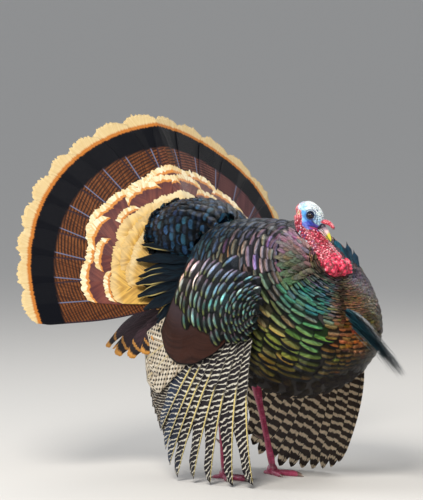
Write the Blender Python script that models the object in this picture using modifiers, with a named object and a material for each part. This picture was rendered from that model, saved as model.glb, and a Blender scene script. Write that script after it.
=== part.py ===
"""Strutting gobbler: a life-size still model of a male wild turkey, tail fanned and wings drooped.

Metres, +Z up, +X the way the bird faces, +Y its left. Run it in Blender 4.5.
"""
import bpy
import bmesh
from math import sin, cos, pi, radians, hypot, atan2
from mathutils import Vector, Matrix

# ---------------------------------------------------------------- sizes (m)
GAP = 0.0005            # air left between two neighbouring parts
BODY_NOSE = 0.180       # breast front, ahead of the body's centre
RING = 26               # points round the trunk
FAN_ROOT = Vector((-0.232, 0.002, 0.369))
FAN_TILT = radians(57.3)
FAN_YAW = radians(13.7)
FAN_ROLL = radians(5.9)
FAN_SWEEP = radians(-13.6)
FAN_LENGTH = 0.424      # root to tip of a tail feather
FAN_FEATHERS = 18
FAN_STEP = radians(10.12)
FAN_THICK = 0.0014
RUMP_W = 0.118          # half width of the dome of rump feathers on the fan
RUMP_H = 0.086
RUMP_MID = 0.124        # its middle, out from the root of the fan
WING_OUT = 0.190        # outer face of a drooped wing from the midline
WING_THICK = 0.0015
WING_LAYER = 0.0036     # one layer of wing feathers to the next
LOBE_MID = (-0.070, 0.374)
LOBE_LONG = 0.114
LOBE_TALL = 0.076
LOBE_TILT = radians(14)
HEAD_AT = Vector((0.0124, -0.0136, 0.5595))
HEAD_PITCH = radians(42)
HEAD_YAW = radians(15)
EYE_R = 0.0062
SHANK_R = 0.0066
SPUR_LEN = 0.026
TOE_MID = 0.078
BEARD_LEN = 0.165
ROOM = bpy.context.scene

NAME = "wild_turkey"
WHOLE = {}               # each part before any cut, by name


# ---------------------------------------------------------------- helpers
def clear():
    for ob in list(bpy.data.objects):
        bpy.data.objects.remove(ob, do_unlink=True)
    for col in list(bpy.data.collections):
        bpy.data.collections.remove(col)


def collection(name):
    col = bpy.data.collections.new(name)
    ROOM.collection.children.link(col)
    return col


def material(name, rgb, rough):
    mat = bpy.data.materials.new(name)
    mat.use_nodes = True
    shader = mat.node_tree.nodes["Principled BSDF"]
    shader.inputs["Base Color"].default_value = (*rgb, 1)
    shader.inputs["Roughness"].default_value = rough
    return mat


def node(name, bm, rgb, rough=0.6, smooth=True):
    bmesh.ops.remove_doubles(bm, verts=bm.verts, dist=1e-6)
    bmesh.ops.recalc_face_normals(bm, faces=bm.faces)
    mesh = bpy.data.meshes.new(name)
    bm.to_mesh(mesh)
    bm.free()
    for face in mesh.polygons:
        face.use_smooth = smooth
    ob = bpy.data.objects.new(name, mesh)
    ob.data.materials.append(material(name + "_colour", rgb, rough))
    PARTS.objects.link(ob)
    WHOLE[name] = mesh.copy()
    return ob


def mix(a, b, t):
    return a + (b - a) * t


def knots(table, t):
    """Smooth value at t from a short table of (position, value...) rows."""
    if t <= table[0][0]:
        return table[0][1:]
    for low, high in zip(table, table[1:]):
        if t <= high[0]:
            s = (t - low[0]) / (high[0] - low[0])
            return tuple(mix(a, b, s) for a, b in zip(low[1:], high[1:]))
    return table[-1][1:]


def soft_knots(table, t, reach):
    """The same, rounded off over a window."""
    rows = [knots(table, t + reach * k) for k in (-1, -0.5, 0, 0.5, 1)]
    return tuple(sum(col) / len(rows) for col in zip(*rows))


def loft(rings, closed_ends=True):
    """Closed body through rings of points, all the same count."""
    bm = bmesh.new()
    rows = [[bm.verts.new(p) for p in ring] for ring in rings]
    count = len(rows[0])
    for a, b in zip(rows, rows[1:]):
        for i in range(count):
            j = (i + 1) % count
            bm.faces.new((a[i], a[j], b[j], b[i]))
    if closed_ends:
        for row in (rows[0], rows[-1]):
            mid = bm.verts.new(sum((v.co for v in row), Vector()) / count)
            for i in range(count):
                bm.faces.new((row[i], row[(i + 1) % count], mid))
    return bm


def oval(mid, across, up, half_w, half_h, count, power=2.0, flat=1.0):
    """Ring of a rounded box; flat under 1 presses its lower half."""
    ring = []
    for i in range(count):
        a = 2 * pi * i / count
        c, s = cos(a), sin(a)
        size = (abs(c) ** power + abs(s) ** power) ** (-1 / power)
        drop = flat if s < 0 else 1.0
        ring.append(mid + across * (half_w * c * size) + up * (half_h * s * size * drop))
    return ring


def tube(points, radii, count=12, squash=1.0, side=Vector((0, 1, 0))):
    """Round body along a line of points; squash thins it across side."""
    rings = []
    last = len(points) - 1
    for k, p in enumerate(points):
        ahead = (points[min(k + 1, last)] - points[max(k - 1, 0)]).normalized()
        across = (side - ahead * side.dot(ahead)).normalized()
        up = ahead.cross(across)
        rings.append(oval(p, across, up, radii[k] * squash, radii[k], count))
    return loft(rings)


def curve(points, steps):
    """Points along a smooth line through the given ones."""
    out = []
    for k in range(len(points) - 1):
        p0 = points[max(k - 1, 0)]
        p1, p2 = points[k], points[k + 1]
        p3 = points[min(k + 2, len(points) - 1)]
        for i in range(steps):
            t = i / steps
            out.append(0.5 * (2 * p1 + (p2 - p0) * t + (2 * p0 - 5 * p1 + 4 * p2 - p3) * t * t
                              + (3 * p1 - p0 - 3 * p2 + p3) * t ** 3))
    out.append(points[-1])
    return out


def ball(mid, size, turn=None, segments=20, rings=12):
    bm = bmesh.new()
    bmesh.ops.create_uvsphere(bm, u_segments=segments, v_segments=rings, radius=1)
    frame = Matrix.Translation(mid) @ (turn or Matrix()) @ Matrix.Diagonal((*size, 1))
    bmesh.ops.transform(bm, matrix=frame, verts=bm.verts)
    return bm


def slab(front, back):
    """Closed sheet between two grids of points."""
    bm = bmesh.new()
    top = [[bm.verts.new(p) for p in row] for row in front]
    low = [[bm.verts.new(p) for p in row] for row in back]
    rows, cols = len(top), len(top[0])
    for i in range(rows - 1):
        for j in range(cols - 1):
            bm.faces.new((top[i][j], top[i + 1][j], top[i + 1][j + 1], top[i][j + 1]))
            bm.faces.new((low[i][j], low[i][j + 1], low[i + 1][j + 1], low[i + 1][j]))
    edge = [(i, 0) for i in range(rows)] + [(rows - 1, j) for j in range(1, cols)]
    edge += [(i, cols - 1) for i in range(rows - 2, -1, -1)]
    edge += [(0, j) for j in range(cols - 2, 0, -1)]
    for (i, j), (k, m) in zip(edge, edge[1:] + edge[:1]):
        bm.faces.new((top[i][j], low[i][j], low[k][m], top[k][m]))
    return bm


def bake(ob):
    """Replace an object's mesh by its modified shape."""
    graph = bpy.context.evaluated_depsgraph_get()
    mesh = bpy.data.meshes.new_from_object(ob.evaluated_get(graph))
    ob.modifiers.clear()
    old = ob.data
    ob.data = mesh
    mesh.name = ob.name
    bpy.data.meshes.remove(old)


def keep_biggest(ob):
    """Drop the crumbs a cut may leave."""
    bm = bmesh.new()
    bm.from_mesh(ob.data)
    bmesh.ops.remove_doubles(bm, verts=bm.verts, dist=4e-6)
    left = set(bm.faces)
    groups = []
    while left:
        stack = [left.pop()]
        group = []
        while stack:
            face = stack.pop()
            group.append(face)
            for edge in face.edges:
                for other in edge.link_faces:
                    if other in left:
                        left.discard(other)
                        stack.append(other)
        groups.append(group)
    groups.sort(key=lambda g: -sum(f.calc_area() for f in g))
    extra = [f for g in groups[1:] for f in g]
    bmesh.ops.delete(bm, geom=extra, context='FACES')
    bmesh.ops.triangulate(bm, faces=[f for f in bm.faces if len(f.verts) > 4])
    bm.to_mesh(ob.data)
    bm.free()


def grown_copy(ob, grow):
    """A tool: the same shape grown by a small amount."""
    tool = bpy.data.objects.new(ob.name + "_tool", WHOLE[ob.name].copy())
    bm = bmesh.new()
    bm.from_mesh(tool.data)
    bm.normal_update()
    moves = [(v, v.normal * grow * min(v.calc_shell_factor(), 2.5)) for v in bm.verts]
    for v, move in moves:
        v.co += move
    bm.to_mesh(tool.data)
    bm.free()
    TOOLS.objects.link(tool)
    tool.hide_render = True
    tool.display_type = 'WIRE'
    return tool


def carve(ob, *others, grow=GAP):
    """Cut an object back so it clears its neighbours."""
    for other in others:
        tool = grown_copy(other, grow)
        cut = ob.modifiers.new("clear_" + other.name, 'BOOLEAN')
        cut.operation = 'DIFFERENCE'
        cut.solver = 'EXACT'
        cut.object = tool
        bake(ob)
        bpy.data.objects.remove(tool, do_unlink=True)
        keep_biggest(ob)


def fuse(name, shapes, cell, ratio, rgb, rough=0.6):
    """Join overlapping closed shapes into one rounded body."""
    bm = bmesh.new()
    for shape in shapes:
        bmesh.ops.recalc_face_normals(shape, faces=shape.faces)
        mesh = bpy.data.meshes.new("bit")
        shape.to_mesh(mesh)
        shape.free()
        bm.from_mesh(mesh)
        bpy.data.meshes.remove(mesh)
    ob = node(name, bm, rgb, rough)
    melt = ob.modifiers.new("melt", 'REMESH')
    melt.mode = 'VOXEL'
    melt.voxel_size = cell
    melt.use_smooth_shade = True
    thin = ob.modifiers.new("thin", 'DECIMATE')
    thin.ratio = ratio
    bake(ob)
    keep_biggest(ob)
    WHOLE[name] = ob.data.copy()
    return ob


def stand_flat(ob, level=0.0):
    """Slice off all that is under the floor, leaving a flat."""
    bm = bmesh.new()
    bm.from_mesh(ob.data)
    geom = bm.verts[:] + bm.edges[:] + bm.faces[:]
    cut = bmesh.ops.bisect_plane(bm, geom=geom, plane_co=(0, 0, level), plane_no=(0, 0, -1),
                                 clear_outer=True)
    edges = [e for e in cut["geom_cut"] if isinstance(e, bmesh.types.BMEdge)]
    bmesh.ops.holes_fill(bm, edges=edges, sides=0)
    bmesh.ops.remove_doubles(bm, verts=bm.verts, dist=1e-5)
    bmesh.ops.triangulate(bm, faces=[f for f in bm.faces if len(f.verts) > 4])
    bmesh.ops.recalc_face_normals(bm, faces=bm.faces)
    bm.to_mesh(ob.data)
    bm.free()


# ---------------------------------------------------------------- tail
FAN_AXIS = Vector((-cos(FAN_TILT) * cos(FAN_YAW), cos(FAN_TILT) * sin(FAN_YAW), sin(FAN_TILT)))
FLAT_SIDE = Vector((-sin(FAN_YAW), -cos(FAN_YAW), 0))
FAN_SIDE = cos(FAN_ROLL) * FLAT_SIDE + sin(FAN_ROLL) * FAN_AXIS.cross(FLAT_SIDE)
FAN_FRONT = FAN_AXIS.cross(FAN_SIDE)


def fan_point(turn, reach, lift=0.0):
    """A point of the fan: turn from its middle feather to the bird's left, reach out from the root."""
    sweep = FAN_SWEEP * abs(sin(turn)) - radians(1.9) * sin(-turn)
    sweep -= 0.55 * min(max(turn - radians(34), 0), 1) ** 2 * max(sin(turn), 0)
    along = cos(turn) * FAN_AXIS + sin(-turn) * FAN_SIDE
    ray = along * cos(sweep) + FAN_FRONT * sin(sweep)
    face = FAN_FRONT * cos(sweep) - along * sin(sweep)
    return FAN_ROOT + ray * reach + face * lift


def fan_turn(place):
    """Angle of a place counted in feathers, 1 being the bird's right outermost."""
    return (place - (FAN_FEATHERS + 1) / 2) * FAN_STEP


def scallop(place, deep):
    """How far the edge falls back between two feather tips."""
    off = abs(place - round(place)) * 2
    return deep * off ** 2.2


def fan_start(turn):
    """Where the sheets of the tail begin, just clear of the trunk."""
    return 0.055 + 0.050 * sin(turn) ** 2


def tail_fan():
    steps = 3
    places = [0.5 + k / steps for k in range(FAN_FEATHERS * steps + 1)]
    reaches = (0.0, 0.92, 1.0)
    front, back = [], []
    for r in reaches:
        row_f, row_b = [], []
        for place in places:
            edge = FAN_LENGTH * (1 - scallop(place, 0.035))
            reach = mix(fan_start(fan_turn(place)), edge if r > 0.9 else FAN_LENGTH, r)
            row_f.append(fan_point(fan_turn(place), reach, FAN_THICK / 2))
            row_b.append(fan_point(fan_turn(place), reach, -FAN_THICK / 2))
        front.append(row_f)
        back.append(row_b)
    return node("tail_fan", slab(front, back), (0.30, 0.17, 0.08), 0.5)


def tail_coverts():
    """Rows of coverts lying on the front of the fan."""
    steps = 2
    places = [1 + k / steps for k in range((FAN_FEATHERS - 1) * steps + 1)]
    profile = ((0.0, 0.006), (0.57, 0.0035), (0.72, 0.0016))
    front, back = [], []
    for k, (r, thick) in enumerate(profile):
        row_f, row_b = [], []
        for place in places:
            drop = scallop(place, 0.02) if k == len(profile) - 1 else 0
            turn = fan_turn(place)
            side = 1 - 0.06 * abs(sin(turn))
            reach = max(FAN_LENGTH * (r * side - drop), fan_start(turn) + 0.012)
            low = FAN_THICK / 2 + 0.0009
            row_f.append(fan_point(turn, reach, low + thick))
            row_b.append(fan_point(turn, reach, low))
        front.append(row_f)
        back.append(row_b)
    return node("tail_coverts", slab(front, back), (0.55, 0.36, 0.16), 0.6)


def undertail_coverts():
    """Long soft feathers under the root of the tail, a thick lip that ends in points."""
    rings = []
    rows = ((-0.235, 0.07, 0.034, 0.318), (-0.27, 0.105, 0.036, 0.312), (-0.31, 0.135, 0.030, 0.302),
            (-0.35, 0.150, 0.022, 0.286), (-0.385, 0.150, 0.012, 0.270), (-0.41, 0.140, 0.003, 0.258))
    for x, half_w, half_h, z in rows:
        ring = oval(Vector((x, 0.0, z)), Vector((0, 1, 0)), Vector((0.35, 0, 0.94)),
                    half_w, half_h, 20, 2.3)
        rings.append([p + Vector((0.9 * p.y * p.y, 0, -0.8 * p.y * p.y)) for p in ring])
    return node("undertail_coverts", loft(rings), (0.09, 0.07, 0.05), 0.7)


# ---------------------------------------------------------------- trunk
TRUNK = (  # x, top, bottom, half width, squareness
    (-0.247, 0.440, 0.335, 0.055, 2.0),
    (-0.236, 0.480, 0.300, 0.090, 2.1),
    (-0.200, 0.515, 0.250, 0.126, 2.2),
    (-0.120, 0.527, 0.198, 0.148, 2.3),
    (-0.040, 0.524, 0.170, 0.152, 2.4),
    (0.030, 0.504, 0.166, 0.149, 2.4),
    (0.095, 0.452, 0.194, 0.128, 2.3),
    (0.145, 0.392, 0.236, 0.090, 2.2),
    (0.172, 0.345, 0.272, 0.046, 2.1),
)


def trunk():
    rings = []
    count = 12
    for k in range(count + 1):
        t = (1 - cos(pi * k / count)) / 2
        x = mix(TRUNK[0][0], TRUNK[-1][0], t)
        top, low, half_w, power = soft_knots(TRUNK, x, 0.012)
        mid = Vector((x, 0, (top + low) / 2))
        rings.append(oval(mid, Vector((0, 1, 0)), Vector((0, 0, 1)), half_w, (top - low) / 2,
                          RING, power))
    tip = [p * 0.35 + sum(rings[-1], Vector()) / RING * 0.65 for p in rings[-1]]
    rings.append([p + Vector((BODY_NOSE - TRUNK[-1][0], 0, 0)) for p in tip])
    return node("trunk", loft(rings), (0.10, 0.10, 0.05), 0.45)


def rump():
    """Raised back feathers that end as a dome on the front of the fan."""
    rings = []
    for part in (0.03, 0.5, 1.0):
        ring = []
        for p in oval(Vector((0, 0, 0)), Vector((1, 0, 0)), Vector((0, 1, 0)), RUMP_W * part, RUMP_H * part, 26):
            across, out = p.x, p.y + RUMP_MID
            ring.append(fan_point(-atan2(across, out), hypot(across, out), 0.0115))
        rings.append(ring)
    for height in (0.034, 0.060, 0.082, 0.098, 0.106):
        size = (1 - (height / 0.110) ** 2.2) ** 0.5
        mid = fan_point(0, RUMP_MID - 0.16 * height, height)
        rings.append(oval(mid, FAN_SIDE, FAN_AXIS, RUMP_W * size, RUMP_H * size, 26))
    return node("rump", loft(rings), (0.02, 0.03, 0.06), 0.35)


def vent():
    """Soft mound of feathers behind the root of the fan."""
    bm = ball(Vector((-0.288, 0.0, 0.338)), (0.056, 0.108, 0.062), Matrix.Rotation(radians(-18), 4, 'Y'), 18, 12)
    return node("vent", bm, (0.10, 0.09, 0.07), 0.75)


# ---------------------------------------------------------------- wings
def wing_y(x, z):
    """Outer face of a wing from the midline."""
    high = 0.55 if z > 0.2 else 0.3
    return WING_OUT - high * (z - 0.2) ** 2 - 0.95 * (x + 0.09) ** 2


def bent(root, elbow, tip, s):
    return tuple((1 - s) ** 2 * a + 2 * s * (1 - s) * b + s * s * c
                 for a, b, c in zip(root, elbow, tip))


def feather_sheet(name, side, layer, roots, tips, bow, count, notch, rgb, steps=2, floor=False):
    """A row of long feathers as one thin sheet with a fingered edge."""
    front, back = [], []
    for k in range(count * steps + 1):
        place = k / steps
        t = place / count
        root, tip = knots(roots, t), knots(tips, t)
        length = hypot(root[0] - tip[0], root[1] - tip[1])
        mid = tuple((a + b) / 2 for a, b in zip(root, tip))
        push = bow * (1 - t)
        elbow = (mid[0] + push, mid[1] + push * 0.15)
        off = abs((place % 1.0) - 0.5) * 2
        end = 1 - notch * off ** 1.6 * (0.25 / max(length, 0.1))
        row_f, row_b = [], []
        for s in (0.0, 0.27, 0.54, 0.8, 1.0):
            x, z = bent(root, elbow, tip, s * end)
            if floor:
                z = max(z, 0.004)
            y = wing_y(x, z) - layer * WING_LAYER
            row_f.append(Vector((x, side * y, z)))
            row_b.append(Vector((x, side * (y - WING_THICK), z)))
        front.append(row_f)
        back.append(row_b)
    return node(name, slab(front, back), rgb, 0.5)


NEAR_PRIMARY_TIPS = ((0.0, 0.038, 0.007), (0.15, -0.019, 0.004), (0.3, -0.083, 0.004),
                     (0.45, -0.130, 0.014), (0.6, -0.185, 0.010), (0.8, -0.205, 0.055),
                     (1.0, -0.225, 0.100))
FAR_PRIMARY_TIPS = ((0.0, -0.030, 0.030), (0.15, -0.062, 0.010), (0.3, -0.105, 0.004),
                    (0.45, -0.148, 0.004), (0.62, -0.200, 0.004), (0.8, -0.245, 0.030),
                    (1.0, -0.270, 0.075))
PRIMARY_ROOTS = ((0.0, 0.020, 0.300), (1.0, -0.070, 0.315))
NEAR_SECONDARY_TIPS = ((0.0, -0.165, 0.070), (0.3, -0.230, 0.095), (0.6, -0.264, 0.150),
                       (0.85, -0.280, 0.215), (1.0, -0.278, 0.262))
FAR_SECONDARY_TIPS = ((0.0, -0.200, 0.062), (0.3, -0.258, 0.090), (0.6, -0.288, 0.150),
                      (0.85, -0.296, 0.215), (1.0, -0.286, 0.265))
SECONDARY_ROOTS = ((0.0, -0.020, 0.300), (1.0, -0.125, 0.328))
TERTIAL_TIPS = ((0.0, -0.015, 0.262), (0.25, -0.070, 0.226), (0.5, -0.135, 0.215),
                (0.75, -0.205, 0.238), (1.0, -0.262, 0.288))
TERTIAL_ROOTS = ((0.0, 0.005, 0.318), (1.0, -0.150, 0.343))


def wing(tag, side):
    primary = NEAR_PRIMARY_TIPS if side < 0 else FAR_PRIMARY_TIPS
    secondary = NEAR_SECONDARY_TIPS if side < 0 else FAR_SECONDARY_TIPS
    bow = 0.012 if side < 0 else 0.050
    parts = [feather_sheet("wing_%s_primaries" % tag, side, 3, PRIMARY_ROOTS, primary, bow, 10,
                           0.24, (0.13, 0.12, 0.10), 3, True)]
    parts.append(feather_sheet("wing_%s_secondaries" % tag, side, 2, SECONDARY_ROOTS, secondary,
                               -0.010, 10, 0.06, (0.40, 0.36, 0.28)))
    parts.append(feather_sheet("wing_%s_tertials" % tag, side, 1, TERTIAL_ROOTS, TERTIAL_TIPS,
                               0.0, 8, 0.12, (0.14, 0.08, 0.06)))
    parts.append(wing_shoulder(tag, side))
    return parts


def wing_shoulder(tag, side):
    """The rounded lobe of small coverts over the folded arm."""
    steps, count = 5, 16
    faces = [(k, 1) for k in range(1, steps + 1)] + [(k, -1) for k in range(steps - 1, 0, -1)]
    rings = []
    for k, out in faces:
        f = sin(pi / 2 * k / steps)
        ring = []
        for i in range(count):
            a = 2 * pi * i / count
            u, w = LOBE_LONG * f * cos(a), LOBE_TALL * f * sin(a)
            x = LOBE_MID[0] + u * cos(LOBE_TILT) + w * sin(LOBE_TILT)
            z = LOBE_MID[1] - u * sin(LOBE_TILT) + w * cos(LOBE_TILT)
            if out > 0:
                deep = 0.012 * (1 - f * f) ** 0.7
            else:
                rise = min(max((z - 0.350) / 0.05, 0), 1)
                deep = -0.001 - 0.045 * rise * (1 - f * f) ** 0.5
            ring.append(Vector((x, side * (wing_y(x, z) + deep), z)))
        rings.append(ring)
    return node("wing_%s_shoulder" % tag, loft(rings), (0.05, 0.12, 0.10), 0.4)


# ---------------------------------------------------------------- legs
def thigh(tag, side, hock):
    """Feathered drumstick from the belly to the hock."""
    hip = Vector((-0.100, side * 0.075, 0.290))
    line = curve([hip, Vector((-0.128, side * 0.072, 0.240)), hock + Vector((0, 0, 0.006))], 3)
    radii = (0.052, 0.055, 0.055, 0.050, 0.038, 0.024, 0.0125)
    return node("thigh_%s" % tag, tube(line, radii, 14), (0.06, 0.05, 0.03), 0.7)


def shank(tag, hock, ankle):
    """Bare scaled leg, thick at the hock and ankle, deeper than it is wide."""
    line = [hock.lerp(ankle, t) for t in (0, 0.05, 0.13, 0.25, 0.5, 0.75, 0.9, 1.0)]
    radii = [SHANK_R * k for k in (1.15, 1.55, 1.45, 1.08, 0.95, 1.0, 1.18, 1.1)]
    return node("shank_%s" % tag, tube(line, radii, 12, 0.82), (0.55, 0.10, 0.20), 0.5)


def spur(tag, side, hock, ankle):
    root = hock.lerp(ankle, 0.68) + Vector((-0.005, -side * 0.002, 0))
    tip = root + Vector((-0.9, -side * 0.25, 0.28)).normalized() * SPUR_LEN
    line = curve([root, root.lerp(tip, 0.5) + Vector((0, 0, -0.002)), tip], 2)
    radii = [0.0048 * (1 - k / 4.3) for k in range(5)]
    return node("spur_%s" % tag, tube(line, radii, 9), (0.25, 0.16, 0.12), 0.4)


def toe(root, heading, length, thick):
    """One toe with two knuckles and a claw, pressed on the floor."""
    ray = Vector((cos(heading), sin(heading), 0))
    marks = ((0.0, 1.15, 1.5), (0.2, 1.0, 0.9), (0.42, 1.08, 0.82), (0.6, 0.88, 0.7), (0.72, 0.9, 0.68),
             (0.80, 0.62, 0.62), (0.90, 0.42, 0.46), (1.0, 0.14, 0.16))
    line = [root + ray * (length * t) + Vector((0, 0, thick * lift)) for t, _, lift in marks]
    radii = [thick * width for _, width, _ in marks]
    across = Vector((-ray.y, ray.x, 0))
    return tube(line, radii, 12, 1.0, across)


def foot(tag, side, ankle, heading):
    base = Vector((ankle.x, ankle.y, 0))
    spread = radians(34)
    shapes = [toe(base, heading, TOE_MID, 0.0062),
              toe(base, heading + spread, TOE_MID * 0.78, 0.0056),
              toe(base, heading - spread, TOE_MID * 0.78, 0.0056),
              toe(base, heading + pi - side * 0.35, 0.032, 0.0046)]
    shapes.append(ball(base + Vector((0, 0, 0.011)), (0.0115, 0.0105, 0.013), None, 14, 10))
    ob = fuse("foot_%s" % tag, shapes, 0.0016, 0.046, (0.50, 0.11, 0.20), 0.5)
    stand_flat(ob)
    return ob


# ---------------------------------------------------------------- head and neck
HEAD_FWD = Vector((cos(HEAD_YAW) * cos(HEAD_PITCH), sin(HEAD_YAW) * cos(HEAD_PITCH), -sin(HEAD_PITCH)))
HEAD_LEFT = Vector((-sin(HEAD_YAW), cos(HEAD_YAW), 0))
HEAD_UP = HEAD_FWD.cross(HEAD_LEFT)


def at_head(forward, left, up):
    """A place on the head, in centimetres from the back of the skull."""
    return HEAD_AT + (HEAD_FWD * forward + HEAD_LEFT * left + HEAD_UP * up) * 0.01


def head_loft(rows, count=18, power=2.0):
    """Body through rows of (forward, middle height, half width, half height) in centimetres."""
    rings = []
    for forward, mid, half_w, half_h in rows:
        rings.append(oval(at_head(forward, 0, mid), HEAD_LEFT, HEAD_UP, half_w * 0.01,
                          half_h * 0.01, count, power))
    return loft(rings)


def head():
    rows = ((-0.1, -0.35, 0.5, 0.5), (0.25, -0.3, 1.1, 1.2), (1.0, -0.15, 1.6, 1.85), (2.0, -0.02, 1.88, 2.15),
            (3.1, 0.07, 1.94, 2.22), (4.0, 0.10, 1.88, 2.14), (4.8, 0.06, 1.70, 1.96),
            (5.5, -0.04, 1.42, 1.68), (6.1, -0.18, 1.04, 1.28), (6.45, -0.3, 0.72, 0.94))
    return node("head", head_loft(rows), (0.25, 0.40, 0.62), 0.5)


def bill_upper():
    rows = ((6.51, 0.05, 0.64, 0.60), (6.9, 0.05, 0.62, 0.56), (7.6, -0.04, 0.54, 0.47), (8.4, -0.22, 0.45, 0.42),
            (9.1, -0.45, 0.35, 0.36), (9.65, -0.70, 0.23, 0.26), (9.95, -0.95, 0.09, 0.12))
    return node("bill_upper", head_loft(rows, 14), (0.62, 0.52, 0.34), 0.35)


def bill_lower():
    rows = ((6.51, -0.96, 0.54, 0.25), (6.9, -0.92, 0.52, 0.24), (7.6, -0.86, 0.44, 0.2),
            (8.4, -0.92, 0.35, 0.17), (9.0, -1.03, 0.24, 0.12), (9.4, -1.13, 0.09, 0.06))
    return node("bill_lower", head_loft(rows, 14), (0.55, 0.45, 0.30), 0.35)


def eye(tag, side):
    mid = at_head(3.7, side * 1.53, 0.38)
    return node("eye_%s" % tag, ball(mid, (EYE_R, EYE_R, EYE_R), None, 12, 8), (0.03, 0.015, 0.01), 0.1)


def snood():
    line = curve([at_head(6.0, 0, 0.65), at_head(6.6, 0.05, 1.15), at_head(7.3, 0.15, 1.42),
                  at_head(8.1, 0.3, 1.42), at_head(8.75, 0.4, 1.15)], 2)
    radii = [0.0050, 0.0051, 0.0051, 0.0049, 0.0047, 0.0045, 0.0041, 0.0034, 0.0018]
    return node("snood", tube(line, radii, 8, 0.9), (0.70, 0.12, 0.12), 0.5)


def neck():
    line = curve([at_head(1.6, 0, -1.1), Vector((0.034, -0.006, 0.492)), Vector((0.066, -0.008, 0.459)),
                  Vector((0.095, -0.013, 0.434)), Vector((0.106, -0.012, 0.410))], 3)
    radii = [0.0170, 0.0203, 0.0226, 0.0244, 0.0256, 0.0266, 0.0275, 0.0284, 0.0292, 0.0296,
             0.0286, 0.0258, 0.0210]
    return node("neck", tube(line, radii, 16), (0.60, 0.14, 0.13), 0.5)


def caruncles():
    """Fleshy lumps at the foot of the bare neck."""
    shapes = []
    for at, size in (((0.115, -0.038, 0.437), (0.0125, 0.0125, 0.0160)),
                     ((0.1235, -0.015, 0.436), (0.0105, 0.0098, 0.0175)),
                     ((0.1190, 0.0075, 0.432), (0.0088, 0.0078, 0.0130)),
                     ((0.107, 0.024, 0.438), (0.0110, 0.0105, 0.0140)),
                     ((0.109, -0.010, 0.440), (0.0140, 0.0280, 0.0120))):
        shapes.append(ball(Vector(at), size, None, 14, 10))
    return fuse("caruncles", shapes, 0.0024, 0.2, (0.75, 0.13, 0.10), 0.4)


def beard():
    """Bunch of stiff bristles from the middle of the breast."""
    line = curve([Vector((0.156, -0.036, 0.356)), Vector((0.192, -0.033, 0.316)), Vector((0.232, -0.024, 0.270)),
                  Vector((0.2755, -0.010, 0.222))], 4)
    radii = [0.0085, 0.0100, 0.0108, 0.0108, 0.0105, 0.0100, 0.0094, 0.0087, 0.0080, 0.0072,
             0.0062, 0.0048, 0.0020]
    return node("beard", tube(line, radii, 10, 0.85), (0.02, 0.03, 0.05), 0.5)


# ---------------------------------------------------------------- assembly
def build():
    fan = tail_fan()
    coverts = tail_coverts()
    under = undertail_coverts()
    hump = rump()
    down = vent()
    body = trunk()
    skull, bill_u, bill_l = head(), bill_upper(), bill_lower()
    eyes = [eye("left", 1), eye("right", -1)]
    drop, throat, lumps, tuft = snood(), neck(), caruncles(), beard()
    sides = [wing("right", -1), wing("left", 1)]
    legs = []
    stance = (("left", 1, Vector((-0.168, 0.055, 0.186)), Vector((-0.122, 0.055, 0.020)), radians(6)),
              ("right", -1, Vector((-0.166, -0.060, 0.186)), Vector((-0.144, -0.065, 0.020)), radians(-8)))
    for tag, side, hock, ankle, heading in stance:
        legs.append((thigh(tag, side, hock), shank(tag, hock, ankle),
                     spur(tag, side, hock, ankle), foot(tag, side, ankle, heading)))

    carve(body, hump)
    carve(down, body, fan, coverts)
    carve(under, down, body)
    carve(drop, bill_u, skull)
    carve(skull, *eyes)
    carve(throat, skull, bill_l, bill_u)
    carve(body, throat, tuft)
    carve(lumps, throat, body)
    for primaries, secondaries, tertials, lobe in sides:
        carve(lobe, body)
    for upper, bone, nail, paw in legs:
        carve(bone, paw)
        carve(nail, bone)
        carve(upper, bone)
        carve(body, upper)
    return [ob for ob in PARTS.objects]


def rest_on_origin(obs):
    """Put the middle of the model's foot print under the origin, floor at z = 0."""
    points = [ob.matrix_world @ v.co for ob in obs for v in ob.data.vertices]
    low = [min(p[k] for p in points) for k in range(3)]
    high = [max(p[k] for p in points) for k in range(3)]
    move = Vector((-(low[0] + high[0]) / 2, -(low[1] + high[1]) / 2, -low[2]))
    for ob in obs:
        ob.data.transform(Matrix.Translation(move))
        for face in ob.data.polygons:
            face.use_smooth = True


clear()
PARTS = collection(NAME)
TOOLS = collection("tools")
rest_on_origin(build())
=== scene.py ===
"""Looks of the strutting gobbler: a wild turkey, tail fanned and wings drooped.

Metres, +Z up. Shapes are worked out in the bird's own frame, +X the way it faces and +Y its left,
with the origin on the floor under the middle of its body, and moved by HOME as they are made.
"""
from math import ceil, cos, exp, pi, radians, sin, sqrt

import bpy
import bmesh
import numpy as np
from mathutils import Matrix, Vector, noise
from mathutils.bvhtree import BVHTree


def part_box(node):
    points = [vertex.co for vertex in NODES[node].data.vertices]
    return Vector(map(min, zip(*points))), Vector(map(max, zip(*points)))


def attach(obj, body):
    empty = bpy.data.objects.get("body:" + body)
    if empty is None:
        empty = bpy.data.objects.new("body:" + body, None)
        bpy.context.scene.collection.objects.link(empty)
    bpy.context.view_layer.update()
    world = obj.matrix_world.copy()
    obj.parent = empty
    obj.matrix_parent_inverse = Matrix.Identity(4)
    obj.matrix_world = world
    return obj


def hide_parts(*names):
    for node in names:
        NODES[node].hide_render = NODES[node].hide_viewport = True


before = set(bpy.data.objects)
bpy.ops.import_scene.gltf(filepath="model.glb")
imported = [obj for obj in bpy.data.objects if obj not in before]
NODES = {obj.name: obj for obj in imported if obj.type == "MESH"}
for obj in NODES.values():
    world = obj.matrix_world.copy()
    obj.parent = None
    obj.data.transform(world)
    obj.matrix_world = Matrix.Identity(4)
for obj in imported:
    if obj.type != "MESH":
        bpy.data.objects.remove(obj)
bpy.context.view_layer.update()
BODY_NOSE = 0.180        # breast front, ahead of the body's centre
TRUNK_LOW, TRUNK_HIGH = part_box("trunk")
HOME = Vector((TRUNK_HIGH[0] - BODY_NOSE, (TRUNK_LOW[1] + TRUNK_HIGH[1]) / 2, 0))
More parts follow.
